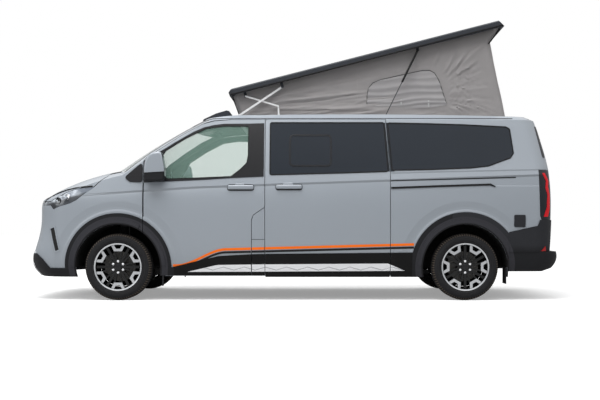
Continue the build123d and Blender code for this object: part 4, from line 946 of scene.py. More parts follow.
# %% Dark windows
SLIDER_GLASS = rounded([(-0.238, 1.258), (0.5, 1.277), (0.963, 1.292), (0.925, 1.806),
                        (-0.238, 1.806)], 0.022)
QUARTER_GLASS = rounded([(0.991, 1.304), (1.40, 1.312), (1.79, 1.328), (1.97, 1.348), (2.197, 1.432),
                         (2.234, 1.484), (2.206, 1.74), (2.165, 1.764), (1.70, 1.786), (1.30, 1.797),
                         (0.953, 1.803)], 0.022)
SMALL_PANE = rounded([(-0.038, 1.350), (0.388, 1.350), (0.388, 1.676), (-0.038, 1.676)], 0.05, 6)
PILLAR_COVERS = {"slider": [(0.930, 1.298), (0.9735, 1.298), (0.9335, 1.800), (0.890, 1.800)],
                 "quarter": [(0.9822, 1.298), (1.020, 1.298), (0.990, 1.800), (0.9425, 1.800)]}
for hand, side in SIDES:
    for title, outline in (("slider", SLIDER_GLASS), ("quarter", QUARTER_GLASS)):
        skin_patch(f"{title}_rubber_{hand}", ("privacy_glass",), outline, rubber, "root", "cladding",
                   holes=[grown(outline, -0.011)], side=side, thick=0.0025)
    for title, node in (("slider", f"sliding_door_{hand}"), ("quarter", f"body_side_{hand}")):
        skin_patch(f"{title}_pillar_cover_{hand}", (node,), PILLAR_COVERS[title], FINISHES["privacy_glass"],
                   "root", "privacy_glass", side=side, thick=0.0008)
    skin_patch(f"small_pane_frame_{hand}", ("privacy_glass",), SMALL_PANE, pillar_black, "root",
               "gloss_black", holes=[grown(SMALL_PANE, -0.013)], side=side, thick=0.004)
print("window rubbers, pillar covers and sliding panes")

# %% [markdown]
# ## Lines along the side
# Rain runs off the roof into a thin gutter. Behind the sliding door a black rail carries the door's rear
# roller, with a foil line above it. A service flap sits low behind on the left, and the edge of the fuel
# flap shows as a short dark line behind the front door, which is painted shade of its gap. All of them are
# outlines cut from the panel under them.

# %% Gutters, rail and side lines
GUTTER = [(-1.02, 1.818), (-0.8, 1.8385), (-0.64, 1.8425), (2.24, 1.8425), (2.24, 1.8490), (-0.64, 1.8490),
          (-0.81, 1.8445), (-1.03, 1.824)]
SLIDE_RAIL = [(0.984, 1.121), (1.5, 1.1405), (1.975, 1.156), (2.03, 1.140), (2.036, 1.147), (1.985, 1.176),
              (1.5, 1.160), (0.984, 1.141)]
SIDE_LINE = [(0.984, 1.199), (1.6, 1.215), (2.24, 1.233), (2.24, 1.243), (1.6, 1.2255), (0.984, 1.208)]
SERVICE_FLAP = rounded([(2.222, 0.738), (2.337, 0.738), (2.337, 0.862), (2.222, 0.862)], 0.014)
for hand, side in SIDES:
    skin_patch(f"gutter_{hand}", ("roof_panel",), GUTTER, rubber, "root", "cladding", side=side, facing=0.1)
    skin_patch(f"slide_rail_{hand}", (f"body_side_{hand}",), SLIDE_RAIL, black_foil, "root", "cladding",
               side=side, thick=0.005)
    skin_patch(f"side_line_{hand}", (f"body_side_{hand}",), SIDE_LINE, black_foil, "root", "cladding",
               side=side)
skin_patch("service_flap", ("body_side_left",), SERVICE_FLAP, cladding, "root", "cladding", side=-1,
           thick=0.007)
# painted shade: a dark strip that stands for the shade in the fuel flap's gap
FLAP_LINE = [(-0.418, 0.6135), (-0.281, 0.6135), (-0.281, 0.6175), (-0.418, 0.6175)]
for hand, side in SIDES:
    skin_patch(f"flap_gap_shade_{hand}", (f"body_side_{hand}",), FLAP_LINE, rubber, "root", "cladding", side=side,
               thick=0.0008)
print("gutters, rails and the service flap")

# %% [markdown]
# ## Stripes and sill
# A thin orange foil with a black line under it starts low behind the front wheel, climbs in an S and runs
# back almost level. Below it the plastic sill holds a bright insert. Foils are cut at each door gap.

# %% Stripes
STRIPE_START, STRIPE_END = -1.208, 1.215


def stripe_height(x):
    """Lower edge of the orange foil."""
    rise = min(1, max(0, (x + 1.17) / 0.5))
    return 0.341 + 0.163 * rise * rise * (3 - 2 * rise) + 0.026 * max(0, x + 0.66)


def band(low, high, start, end, steps=36):
    """Outline of a band that follows the stripe, between two heights above its lower edge."""
    xs = [start + (end - start) * i / steps for i in range(steps + 1)]
    return [(x, stripe_height(x) + low) for x in xs] + [(x, stripe_height(x) + high) for x in reversed(xs)]


DOOR_EDGE = -0.423
FOILS = (("orange", orange, -0.001, 0.0245), ("black", black_foil, -0.030, -0.008))
for hand, side in SIDES:
    for colour, finish, low, high in FOILS:
        skin_patch(f"stripe_{colour}_door_{hand}", (f"door_{hand}",),
                   band(low, high, STRIPE_START, DOOR_EDGE), finish, f"door_{hand}", "paint", side=side,
                   thick=0.0007)
        skin_patch(f"stripe_{colour}_body_{hand}", (f"sliding_door_{hand}", f"body_side_{hand}"),
                   band(low, high, DOOR_EDGE, STRIPE_END), finish, "root", "paint", side=side, thick=0.0007)
print("stripes from", STRIPE_START, "to", STRIPE_END)

# %% [markdown]
# ## Sill inserts
# The plastic sill holds a long bright insert, cut at the gap behind the front door. It rides with the door
# in front of the gap and with the body behind it.

# %% Sill inserts
INSERT_DOOR = [(-1.06, 0.289), (DOOR_EDGE, 0.291), (DOOR_EDGE, 0.3625), (-0.75, 0.3585), (-0.79, 0.352)]
INSERT_BODY = [(-0.414, 0.291), (1.125, 0.300), (0.955, 0.3725), (-0.414, 0.363)]
for hand, side in SIDES:
    skin_patch(f"sill_insert_door_{hand}", (f"door_trim_{hand}",), INSERT_DOOR, silver, f"door_{hand}", "rim",
               side=side, thick=0.004)
    skin_patch(f"sill_insert_body_{hand}", ("side_cladding",), INSERT_BODY, silver, "root", "rim", side=side,
               thick=0.004)
print("sill inserts")

# %% [markdown]
# ## Wheel arch edges
# Round each wheel arch the trim stands out in a rounded edge. In front the edge crosses the door gap, so it
# is cut there and its rear piece rides with the door. Each edge is a band between two circles about the
# axle, cut from the trim's own skin and made thicker.

# %% Wheel arch edges
ARCH_INNER_R, ARCH_OUTER_R = 0.433, 0.482


def arch_band(axle_x, inner, outer, first, last, steps=40):
    """Outline of a band round a wheel arch between two angles, in degrees from straight back."""
    turns = [math.radians(first + (last - first) * i / steps) for i in range(steps + 1)]
    return [(axle_x + outer * math.cos(t), AXLE_Z + outer * math.sin(t)) for t in turns] + [
        (axle_x + inner * math.cos(t), AXLE_Z + inner * math.sin(t)) for t in reversed(turns)]


for hand, side in SIDES:
    for title, node, axle_x, first, last, body in (
            ("front", "side_cladding", FRONT_AXLE, 61.5, 180, "root"),
            ("door", f"door_trim_{hand}", FRONT_AXLE, 2, 52, f"door_{hand}"),
            ("rear", "side_cladding", REAR_AXLE, 14, 178, "root")):
        skin_patch(f"arch_edge_{title}_{hand}", (node,),
                   arch_band(axle_x, ARCH_INNER_R, ARCH_OUTER_R, first, last), cladding, body, "cladding",
                   side=side, lift=0.0, thick=0.007)
print("arch edges")

# %% [markdown]
# ## Rims
# An alloy wheel is painted black and then cut on a lathe, so the faces that look outwards are bright and
# all the rest is black. One finish does both: it is bright where the surface lies far out and looks
# outwards, so no face has to be picked by hand.

# %% Rim finish
def cut_alloy(name):
    """Black paint with bright turned faces where the rim's outermost surface looks outwards."""
    alloy = Finish(name, Roughness=0.3)
    _, y, _ = alloy.axes()
    _, ny, _ = alloy.facing()
    face = (abs(y) > 0.9535).both(abs(ny) > 0.6)
    rings = alloy.noise(9.0, 3.0)
    alloy.link(Base_Color=alloy.mix(face, rgb(15, 15, 16), rgb(226, 228, 231)), Metallic=face * 0.85,
               Roughness=rings * 0.08 + 0.22)
    return alloy.material


rim_finish = cut_alloy("rim_cut_alloy")
WHEEL_PLACES = {"front_left": (FRONT_AXLE, -1), "front_right": (FRONT_AXLE, 1),
                "rear_left": (REAR_AXLE, -1), "rear_right": (REAR_AXLE, 1)}
for end in WHEEL_PLACES:
    rim = frame["nodes"][f"rim_{end}"]
    rim.data.materials.clear()
    rim.data.materials.append(rim_finish)
print("rims bright on their faces")

# %% [markdown]
# ## Tyres
# A tyre is a body of revolution with a cut tread. Its profile has small ribs and steps on the side wall, and
# four grooves round the tread. After the full turn each face between the grooves is one block: an inset
# shrinks its top and lifts it, which leaves the cross cuts between the blocks. The frame's own tyre is a
# smooth ring, so the new one takes its place.

# %% Tyres
TYRE_OUTER_Y, TYRE_INNER_Y, TYRE_R, TREAD_DEPTH = 0.978, 0.763, 0.337, 0.006
GROOVES = (0.812, 0.850, 0.891, 0.929)
GROOVE_FLOOR_R = TYRE_R - 0.011
# Side wall: radius, distance in from the widest place
SIDEWALL = [(0.2285, 0.024), (0.243, 0.018), (0.246, 0.010), (0.252, 0.0065), (0.262, 0.0035),
            (0.265, 0.0055), (0.268, 0.0015), (0.282, 0.0005), (0.285, 0.0025), (0.288, 0.0006),
            (0.300, 0.0030), (0.303, 0.0055), (0.306, 0.0048), (0.318, 0.0125), (0.3265, 0.0215)]

def tyre_profile():
    """The closed outline of half a tyre's cut: outer wall, tread with its grooves, inner wall and inside."""
    outer = [(r, TYRE_OUTER_Y - d) for r, d in SIDEWALL]
    tread = []
    for place in reversed(GROOVES):
        tread += [(TYRE_R - TREAD_DEPTH, place + 0.005), (GROOVE_FLOOR_R, place + 0.003),
                  (GROOVE_FLOOR_R, place - 0.003), (TYRE_R - TREAD_DEPTH, place - 0.005)]
    inner = [(r, TYRE_INNER_Y + d) for r, d in reversed(SIDEWALL)]
    inside_wall = [(0.2285, TYRE_INNER_Y + 0.03), (0.300, TYRE_INNER_Y + 0.03), (0.312, 0.80), (0.312, 0.94),
                   (0.300, TYRE_OUTER_Y - 0.03), (0.2285, TYRE_OUTER_Y - 0.03)]
    return outer + tread + inner + inside_wall + outer[:1]


def tread_faces(mesh, axle_x):
    """The outermost faces of a tyre, which become its blocks."""
    chosen = []
    for face in mesh.faces:
        middle = face.calc_center_median()
        arm = Vector((middle.x - axle_x, 0, middle.z - AXLE_Z))
        if arm.length > TYRE_R - 0.0075 and abs(face.normal.dot(arm.normalized())) > 0.9:
            chosen.append(face)
    return chosen


for end, (axle_x, side) in WHEEL_PLACES.items():
    tyre = lathe([(r, side * y) for r, y in tyre_profile()], (axle_x, 0, AXLE_Z), steps=TREAD_STEPS)
    bmesh.ops.recalc_face_normals(tyre, faces=tyre.faces)
    blocks = tread_faces(tyre, axle_x)
    bmesh.ops.inset_individual(tyre, faces=blocks, thickness=0.0017, depth=0.0054, use_even_offset=True)
    tyre_piece = piece(f"tyre_tread_{end}", tyre, FINISHES["tyre"], f"wheel_{end}")
    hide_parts(f"tyre_{end}")
    print(end, "tyre with", len(blocks), "blocks")

# %% [markdown]
# ## Wheel nuts, caps and dust shields
# Six bright nuts hold each wheel, round a black cap over the hub. Behind the spokes a thin shield keeps dust
# off the brake disc. It stays with the knuckle or the rear axle and doesn't turn. All of them are turned
# shapes, and a nut is the same lathe with only six steps.

# %% Wheel nuts, caps and dust shields
NUT_COUNT, NUT_RING_R, NUT_R = 6, 0.057, 0.0125
NUT_PROFILE = [(0.0, 0.940), (NUT_R, 0.940), (NUT_R, 0.952), (0.006, 0.956), (0.0, 0.956)]
CAP_PROFILE = [(0.0, 0.936), (0.034, 0.936), (0.034, 0.953), (0.031, 0.957), (0.015, 0.9595), (0.0, 0.960)]
SHIELD_PROFILE = [(0.148, 0.806), (0.201, 0.806), (0.203, 0.800), (0.148, 0.803)]


def on_side(profile, side):
    """A profile given by distance from the van's middle, for its left or right side."""
    return [(r, side * y) for r, y in profile]


for end, (axle_x, side) in WHEEL_PLACES.items():
    nuts = bmesh.new()
    for i in range(NUT_COUNT):
        turn = math.tau * (i + 0.5) / NUT_COUNT
        spot = (axle_x + NUT_RING_R * math.cos(turn), 0, AXLE_Z + NUT_RING_R * math.sin(turn))
        lathe(on_side(NUT_PROFILE, side), spot, steps=6, mesh=nuts)
    piece(f"wheel_nuts_{end}", nuts, silver, f"wheel_{end}")
    cap = lathe(on_side(CAP_PROFILE, side), (axle_x, 0, AXLE_Z), steps=48)
    piece(f"wheel_cap_{end}", cap, pillar_black, f"wheel_{end}")
for end, (axle_x, side) in WHEEL_PLACES.items():
    shield = lathe(on_side(SHIELD_PROFILE, side), (axle_x, 0, AXLE_Z), steps=64)
    edges = [e for e in shield.edges if len(e.link_faces) < 2]
    bmesh.ops.bridge_loops(shield, edges=edges)
    hub_body = "root" if "rear" in end else "knuckle_left" if side < 0 else "knuckle_right"
    piece(f"dust_shield_{end}", shield, FINISHES["liner"], hub_body)
print("nuts, caps and dust shields on four wheels")

# %% [markdown]
# ## Nose
# The headlamp is a clear lens over a dark bowl with two round projectors and bright edges. Beside it the
# bumper has an upright air slit, a grille between the lamps, fog lamps low down and a bright skid lip.

# %% Headlamp insides
def lamp_interior(name):
    """What shows through a clear lens: a bright reflector with painted reflections and painted shade, and
    dark housing under gloss.
    """
    lamp = Finish(name, Roughness=0.16, Coat_Weight=1.0, Coat_Roughness=0.02, Metallic=0.35)
    x, _, z = lamp.axes()
    facets = (x * 30 + z * 70).math("SINE")
    patches = lamp.noise(11.0, 1.0, 0.3)
    # painted reflection and shade: the reflector is bright at the front and darker towards the back, broken
    # by facets and patches
    depth = ((x + 2.46) / 0.30 + facets * 0.10 + (patches - 0.5) * 1.6).clamp()
    # painted shade in the reflector's hollows, in patches
    hollow_shade = (((patches - 0.47) * 9).clamp()).both(x < -2.20)
    low = ((1.005 + (x + 2.40) * 0.30 - z) / 0.02).clamp()
    colour = lamp.mix(depth, rgb(206, 213, 221), rgb(128, 136, 148))
    colour = lamp.mix(hollow_shade * 0.7, colour, rgb(58, 62, 70))
    colour = lamp.mix(low * 0.85, colour, rgb(30, 32, 36))
    lamp.link(Base_Color=colour, Roughness=patches * 0.14 + 0.08)
    return lamp.bump(facets, 0.15, 0.002).material


lamp_finish = lamp_interior("headlamp_reflector")
headlamps = frame["nodes"]["headlamps"]
headlamps.data.materials.clear()
headlamps.data.materials.append(lamp_finish)
print("lamp bowls dressed")

# %% [markdown]
# ## Lamp edges and projectors
# A black bar runs along the lamp's upper edge, and two round projectors sit behind the lens, the rear one
# with a bright ring. The bar follows the skin: its line is drawn in side view, and a ray from
# outside finds the panel under each of its points.

# %% Lamp edges and projectors
LAMP_TOP = [(-2.535, 0.990), (-2.512, 1.020), (-2.468, 1.052), (-2.40, 1.083), (-2.30, 1.113), (-2.20, 1.131),
            (-2.10, 1.144), (-2.02, 1.150)]
PROJECTORS = ((-2.37, 1.005, 0.034), (-2.275, 1.045, 0.030))
PROJECTOR_FORWARD, PROJECTOR_UP = -0.45, 0.1


def along_skin(nodes, points, out=0.003, side=-1):
    """Points on the skin of CAD nodes under a line drawn in side view, lifted a little."""
    tree = BVHTree.FromBMesh(skin_of(nodes, 1, side, 0.02))
    found = []
    for x, z in points:
        place, normal, _, _ = tree.ray_cast(Vector((x, side * 4, z)), Vector((0, -side, 0)))
        if place:
            found.append(place + normal * out)
    return found


for hand, side in SIDES:
    edge = along_skin(("headlamps", "fenders", "bonnet", "front_bumper"), LAMP_TOP, 0.002, side)
    if len(edge) > 3:
        wire(f"lamp_edge_{hand}", edge, 0.009, black_foil, "root")
    for number, (x, z, radius) in enumerate(PROJECTORS):
        spots = along_skin(("headlamps",), [(x, z)], 0.0, side)
        if spots:
            ring = lathe([(0.0, -0.012), (radius, -0.012), (radius, 0.002), (radius - 0.004, 0.004),
                          (radius - 0.006, -0.002), (0.0, 0.001)], spots[0],
                         axis=(PROJECTOR_FORWARD, side, PROJECTOR_UP), steps=32)
            finish = chrome if number else lamp_black
            piece(f"projector_{hand}_{number}", ring, finish, "root")
print("headlamps with", len(PROJECTORS), "projectors a side")

# %% [markdown]
# ## Bumper
# An upright air slit in a painted frame sits at each side of the bumper, fog lamps and a bright skid lip are
# low in front, and a blank plate stands in the middle. The slits are cut from the side of the bumper's skin
# and the rest from its front, with the same helper looking along another axis.

# %% Bumper slits, plate, fog lamps and skid lip
AIR_SLIT = rounded([(-2.456, 0.722), (-2.413, 0.738), (-2.364, 0.512), (-2.400, 0.496)], 0.006)
SLIT_FRAME = rounded([(-2.470, 0.744), (-2.402, 0.752), (-2.350, 0.502), (-2.406, 0.478)], 0.01)
for hand, side in SIDES:
    skin_patch(f"slit_frame_{hand}", ("front_bumper",), SLIT_FRAME, paint, "root", "paint", holes=[AIR_SLIT],
               side=side, thick=0.006)
    skin_patch(f"air_slit_{hand}", ("front_bumper",), AIR_SLIT, black_foil, "root", "gloss_black", side=side)


def nose_patch(name, nodes, outline, finish, slot, **options):
    """A patch cut from the front of the van instead of its side."""
    return skin_patch(name, nodes, outline, finish, "root", slot, axis=0, side=-1, **options)


SKID_LIP = rounded([(-0.70, 0.262), (-0.60, 0.245), (0.60, 0.245), (0.70, 0.262), (0.74, 0.375),
                    (0.69, 0.375), (0.62, 0.312), (-0.62, 0.312), (-0.69, 0.375), (-0.74, 0.375)], 0.01)
PLATE_SIZE, FRONT_PLATE_Z = (0.012, 0.52, 0.11), 0.47
nose_patch("skid_lip", ("front_bumper",), SKID_LIP, silver, "rim", thick=0.014)
for hand, side in SIDES:
    fog = rounded([(side * 0.62, 0.43), (side * 0.76, 0.43), (side * 0.76, 0.49), (side * 0.62, 0.49)], 0.02)
    nose_patch(f"fog_lamp_{hand}", ("front_bumper", "grille"), fog, white_lens, "headlamp", thick=0.004)
spot, _ = touch(("front_bumper", "grille"), 0.0, FRONT_PLATE_Z, axis=0, side=-1)
plate = brick((spot.x - 0.007, 0, FRONT_PLATE_Z), PLATE_SIZE, 0.003)
piece("plate_front", plate, plate_white, "root")
print("front plate stands at", round(spot.x, 3))

# %% [markdown]
# ## Grille bars
# Five bars cross the grille, the top one bright and the others black. Each is a round bar that follows the
# grille's curve, so the line is found point by point with a ray from the front. A bar is a little shorter
# the higher it is, because the lamps close in.

# %% Grille bars
GRILLE_LOW, GRILLE_HIGH, GRILLE_BARS, BAR_POINTS = 0.66, 0.90, 5, 24
for i in range(GRILLE_BARS):
    height = GRILLE_LOW + (GRILLE_HIGH - GRILLE_LOW) * i / (GRILLE_BARS - 1)
    half = 0.50 - 0.02 * i
    line = []
    for j in range(BAR_POINTS + 1):
        y = -half + 2 * half * j / BAR_POINTS
        found, _ = touch(("grille",), y, height, axis=0, side=-1)
        if found:
            line.append(found + Vector((-0.003, 0, 0)))
    if len(line) > 4:
        finish = chrome if i == GRILLE_BARS - 1 else pillar_black
        wire(f"grille_bar_{i}", line, 0.007, finish, "root")
print("grille bars from", GRILLE_LOW, "to", GRILLE_HIGH)

# %% [markdown]
# ## Door mirrors
# A van's mirror is a tall painted shell over a black arm, with two panes of glass that look back. The shell
# could be a new block, but lifted from the mirror head that the frame already has, it fits it exactly. A
# black panel fills the door's front corner, and a rubber closes the gap to the pillar. A thin dark strip on
# the door's front edge below the mirror is painted shade, which makes the shut line look deeper.

# %% Door mirrors
MIRROR_SPLIT_Z = 1.285
# Each pane's lower and upper edge in side view, and the places of its sides across the van
MIRROR_PANES = (((-1.2700, 1.245), (-1.2715, 1.312)), ((-1.2730, 1.322), (-1.2905, 1.434)))
PANE_SIDES = (1.034, 1.112)
SAIL = rounded([(-1.5035, 1.196), (-1.36, 1.196), (-1.36, 1.30), (-1.44, 1.40), (-1.5035, 1.365)], 0.012)
SHUT_LINE = [(-1.5055, 0.845), (-1.4985, 0.845), (-1.4985, 1.185), (-1.5055, 1.185)]
PILLAR_LINE = [(-1.503, 1.19 + 0.04 * step) for step in range(6)]


def mirror_shell(hand, side):
    """The upper part of the mirror's own skin, lifted and given a thickness."""
    shell = bmesh.new()
    shell.from_mesh(frame["nodes"][f"door_trim_{hand}"].data)
    bmesh.ops.remove_doubles(shell, verts=shell.verts, dist=2e-5)
    middles = {face: face.calc_center_median() for face in shell.faces}
    away = [face for face, middle in middles.items() if middle.y * side < 1.0 or middle.z < 1.1]
    bmesh.ops.delete(shell, geom=away, context="FACES")
    bmesh.ops.bisect_plane(shell, geom=[*shell.verts, *shell.edges, *shell.faces], dist=1e-6,
                           plane_co=(-1.37, 0, MIRROR_SPLIT_Z), plane_no=(0.06, 0, -1), clear_outer=True)
    rear = [f for f in shell.faces if f.normal.x > 0.8]
    bmesh.ops.delete(shell, geom=rear, context="FACES")
    shell.normal_update()
    for vert in shell.verts:
        vert.co += vert.normal * 0.0008
    raised = bmesh.ops.extrude_face_region(shell, geom=shell.faces[:], use_keep_orig=True)["geom"]
    shell.normal_update()
    for vert in [item for item in raised if isinstance(item, bmesh.types.BMVert)]:
        vert.co += vert.normal * 0.004
    return shell


def mirror_glass(side):
    """Two thin slabs that lean like the back of the mirror head."""
    glass = bmesh.new()
    for low, high in MIRROR_PANES:
        corners = [(low[0] - 0.002, low[1]), (low[0] + 0.0015, low[1]), (high[0] + 0.0015, high[1]),
                   (high[0] - 0.002, high[1])]
        ends = [[glass.verts.new((x, side * y, z)) for x, z in corners] for y in PANE_SIDES]
        glass.faces.new(ends[0])
        glass.faces.new(ends[1][::-1])
        for i in range(4):
            glass.faces.new((ends[0][i], ends[0][i - 1], ends[1][i - 1], ends[1][i]))
    bmesh.ops.recalc_face_normals(glass, faces=glass.faces)
    return glass


for hand, side in SIDES:
    piece(f"mirror_shell_{hand}", mirror_shell(hand, side), paint_plain, f"door_{hand}")
    piece(f"mirror_glass_{hand}", mirror_glass(side), chrome, f"door_{hand}")
    arm = brick((-1.425, side * 0.985, 1.232), (0.125, 0.100, 0.066), 0.022, 3)
    piece(f"mirror_arm_{hand}", arm, pillar_black, f"door_{hand}")
    door_edge = along_skin((f"door_{hand}",), PILLAR_LINE, 0.0, side)
    gap = [place + Vector((-0.005, -side * 0.010, 0)) for place in door_edge]
    wire(f"pillar_seal_{hand}", gap, 0.0029, rubber, "root")
    skin_patch(f"sail_panel_{hand}", (f"door_{hand}",), SAIL, pillar_black, f"door_{hand}", "gloss_black",
               side=side, thick=0.0014)
    # painted shade: a dark strip along the door's front shut line, not a seal
    skin_patch(f"door_gap_shade_{hand}", (f"door_{hand}",), SHUT_LINE, rubber, f"door_{hand}", "cladding",
               side=side, thick=0.0008)
print("two door mirrors")

# %% [markdown]
# ## Door handles
# A handle is a painted bar across an oval recess, and a raised pad at the lock. The recess isn't pressed
# into the door: a flat dark patch on the door's skin is painted shade, so the handle shows as a light bar
# with a painted shadow behind it. The bar is a block with well rounded edges that stands off the door by half
# its thickness.

# %% Door handles
# Each handle: start and end along the van, foot and head height, start and end of the pad
HANDLES = {"front": (-0.655, -0.395, 1.108, 1.163, -0.58, -0.49),
           "sliding": (-0.17, 0.09, 1.113, 1.166, -0.10, 0.0)}
CUP_EDGE, HANDLE_BAR_Y, PAD_Y = 0.006, 0.026, 0.016
for hand, side in SIDES:
    for title, (start, end, low, high, pad_start, pad_end) in HANDLES.items():
        node, body = f"sliding_door_{hand}", "root"
        if title == "front":
            node = body = f"door_{hand}"
        cup = rounded([(start - CUP_EDGE, low - CUP_EDGE), (end + CUP_EDGE, low - CUP_EDGE),
                       (end + CUP_EDGE, high + CUP_EDGE), (start - CUP_EDGE, high + CUP_EDGE)], 0.029)
        # painted shade: a flat gloss black patch stands for the shade in the handle's recess
        skin_patch(f"handle_recess_shade_{title}_{hand}", (node,), cup, pillar_black, body, "gloss_black",
                   side=side, thick=0.0012)
        middle_z = (low + high) / 2
        spots = along_skin((node,), [(start + 0.02, middle_z), (end - 0.02, middle_z)], 0.0, side)
        depth = (abs(spots[0].y) + abs(spots[1].y)) / 2
        middle = ((start + end) / 2, side * (depth + 0.011), middle_z + 0.003)
        bar = brick(middle, (end - start, HANDLE_BAR_Y, high - low - 0.010), 0.0125, 4)
        pad_middle = ((pad_start + pad_end) / 2, side * (depth + 0.009), high + 0.004)
        brick(pad_middle, (pad_end - pad_start, PAD_Y, 0.026), 0.006, 3, mesh=bar)
        piece(f"handle_{title}_{hand}", bar, paint_plain, body)
print("four door handles")

# %% [markdown]
# ## Wipers
# Two wiper blades rest at the foot of the windscreen, each on an arm that comes up from under the bonnet's
# rear edge. A blade is a rubber bar that follows the glass a finger's width off it.

# %% Wipers
WIPER_POINTS, WIPER_OFF = 8, 0.012
for number, (inner_y, outer_y) in enumerate(((-0.60, 0.02), (0.05, 0.66))):
    line = []
    for i in range(WIPER_POINTS + 1):
        y = inner_y + (outer_y - inner_y) * i / WIPER_POINTS
        z = 1.235 + 0.02 * math.sin(i / WIPER_POINTS * 3)
        found, way = touch(("windscreen", "cowl"), y, z, axis=0, side=-1)
        if found:
            line.append(found + way * WIPER_OFF)
    if len(line) > 3:
        wire(f"wiper_{number}", line, 0.006, rubber, "root")
        arm = [line[0] + Vector((-0.01, 0, -0.03)), line[0], line[len(line) // 2]]
        wire(f"wiper_arm_{number}", arm, 0.009, pillar_black, "root")
print("two wipers")

# %% [markdown]
# ## Tail lamps
# The tail lamps are dark housings with a bright red light shaped like a bracket. A black strip frames the
# side of the tailgate's glass, and small reflectors sit low in the bumper's corners. The lamp's skin turns
# round the corner of the van, so the cut takes in faces that look nearly backwards too.

# %% Tail lamps
LAMP_BAR = rounded([(2.512, 1.285), (2.540, 1.285), (2.586, 1.208), (2.577, 1.147), (2.599, 1.075),
                    (2.600, 0.933), (2.575, 0.843), (2.525, 0.843), (2.561, 0.933), (2.569, 1.065),
                    (2.545, 1.137), (2.555, 1.202)], 0.006)
GLASS_EDGE = [(2.474, 1.768), (2.500, 1.776), (2.566, 1.452), (2.545, 1.440), (2.530, 1.462)]
REFLECTOR = [(2.548, 0.545), (2.500, 0.497), (2.556, 0.497)]
for hand, side in SIDES:
    skin_patch(f"tail_light_{hand}", ("tail_lamps",), LAMP_BAR, red_lens, "root", "tail_lamp", side=side,
               thick=0.003, facing=0.05)
    skin_patch(f"tail_glass_edge_{hand}", ("tailgate", f"body_side_{hand}", "tailgate_glass"), GLASS_EDGE,
               pillar_black, "tailgate", "gloss_black", side=side, thick=0.003, facing=0.05)
    skin_patch(f"reflector_{hand}", ("rear_bumper",), REFLECTOR, reflector, "root", "tail_lamp", side=side,
               thick=0.002, facing=0.05)
print("tail lamps")


# %% [markdown]
# ## Tailgate fittings
# In the middle of the tailgate are a blank plate, a broad dark handle over it, a wiper with its hub and a
# long brake lamp above the glass. A ray from behind finds the seat of each, so it sits on the tailgate
# however the panel curves, and all of them ride up with it.

# %% Tailgate fittings
REAR_PLATE_Z, HANDLE_Z, BRAKE_LAMP_Z = 0.93, 1.05, 1.845
HUB_PROFILE = [(0, -0.01), (0.028, -0.01), (0.028, 0.018), (0.02, 0.026), (0, 0.027)]


def tail_spot(y, z, nodes=("tailgate", "tailgate_glass")):
    """Where a ray from behind meets the tailgate, with the direction that it faces."""
    return touch(nodes, y, z, axis=0, side=1)


spot, _ = tail_spot(0.0, REAR_PLATE_Z)
plate = brick((spot.x + 0.008, 0, REAR_PLATE_Z), PLATE_SIZE, 0.003)
piece("plate_rear", plate, plate_white, "tailgate")
spot, _ = tail_spot(0.0, HANDLE_Z)
handle = brick((spot.x + 0.014, 0, HANDLE_Z), (0.03, 0.60, 0.045), 0.012, 3)
piece("tailgate_handle", handle, cladding, "tailgate")
line = []
for i in range(9):
    found, way = tail_spot(-0.03 + 0.05 * i, 1.30 + 0.012 * i)
    if found:
        line.append(found + way * WIPER_OFF)
wire("rear_wiper", line, 0.0065, rubber, "tailgate")
hub, way = tail_spot(-0.03, 1.27)
piece("rear_wiper_hub", lathe(HUB_PROFILE, hub, axis=way, steps=32), pillar_black, "tailgate")
spot, _ = tail_spot(0.0, BRAKE_LAMP_Z)
if spot:
    lamp = brick((spot.x + 0.004, 0, BRAKE_LAMP_Z), (0.02, 0.34, 0.022), 0.006)
    piece("high_brake_lamp", lamp, red_lens, "tailgate")
print("tailgate fittings")

# %% [markdown]
# ## Canvas
# The tent is one band of coated cloth between the roof opening and the lid. It is laced tight at the rear,
# where wrinkles fan out from the window's corner, and slack at the front, where long folds lie almost
# level. Each fold is drawn as a line with a width and a depth, and the cloth sinks along it.

# %% Canvas folds
FOOT_FRONT, FOOT_REAR = (-0.552, 1.8456), (2.214, 1.8456)
HEAD_FRONT, WAIST, HEAD_REAR = (-0.634, 2.112), (2.044, 2.672), (2.1395, 2.822)
CANVAS_HALF, CANVAS_CORNER = 0.656, 0.045
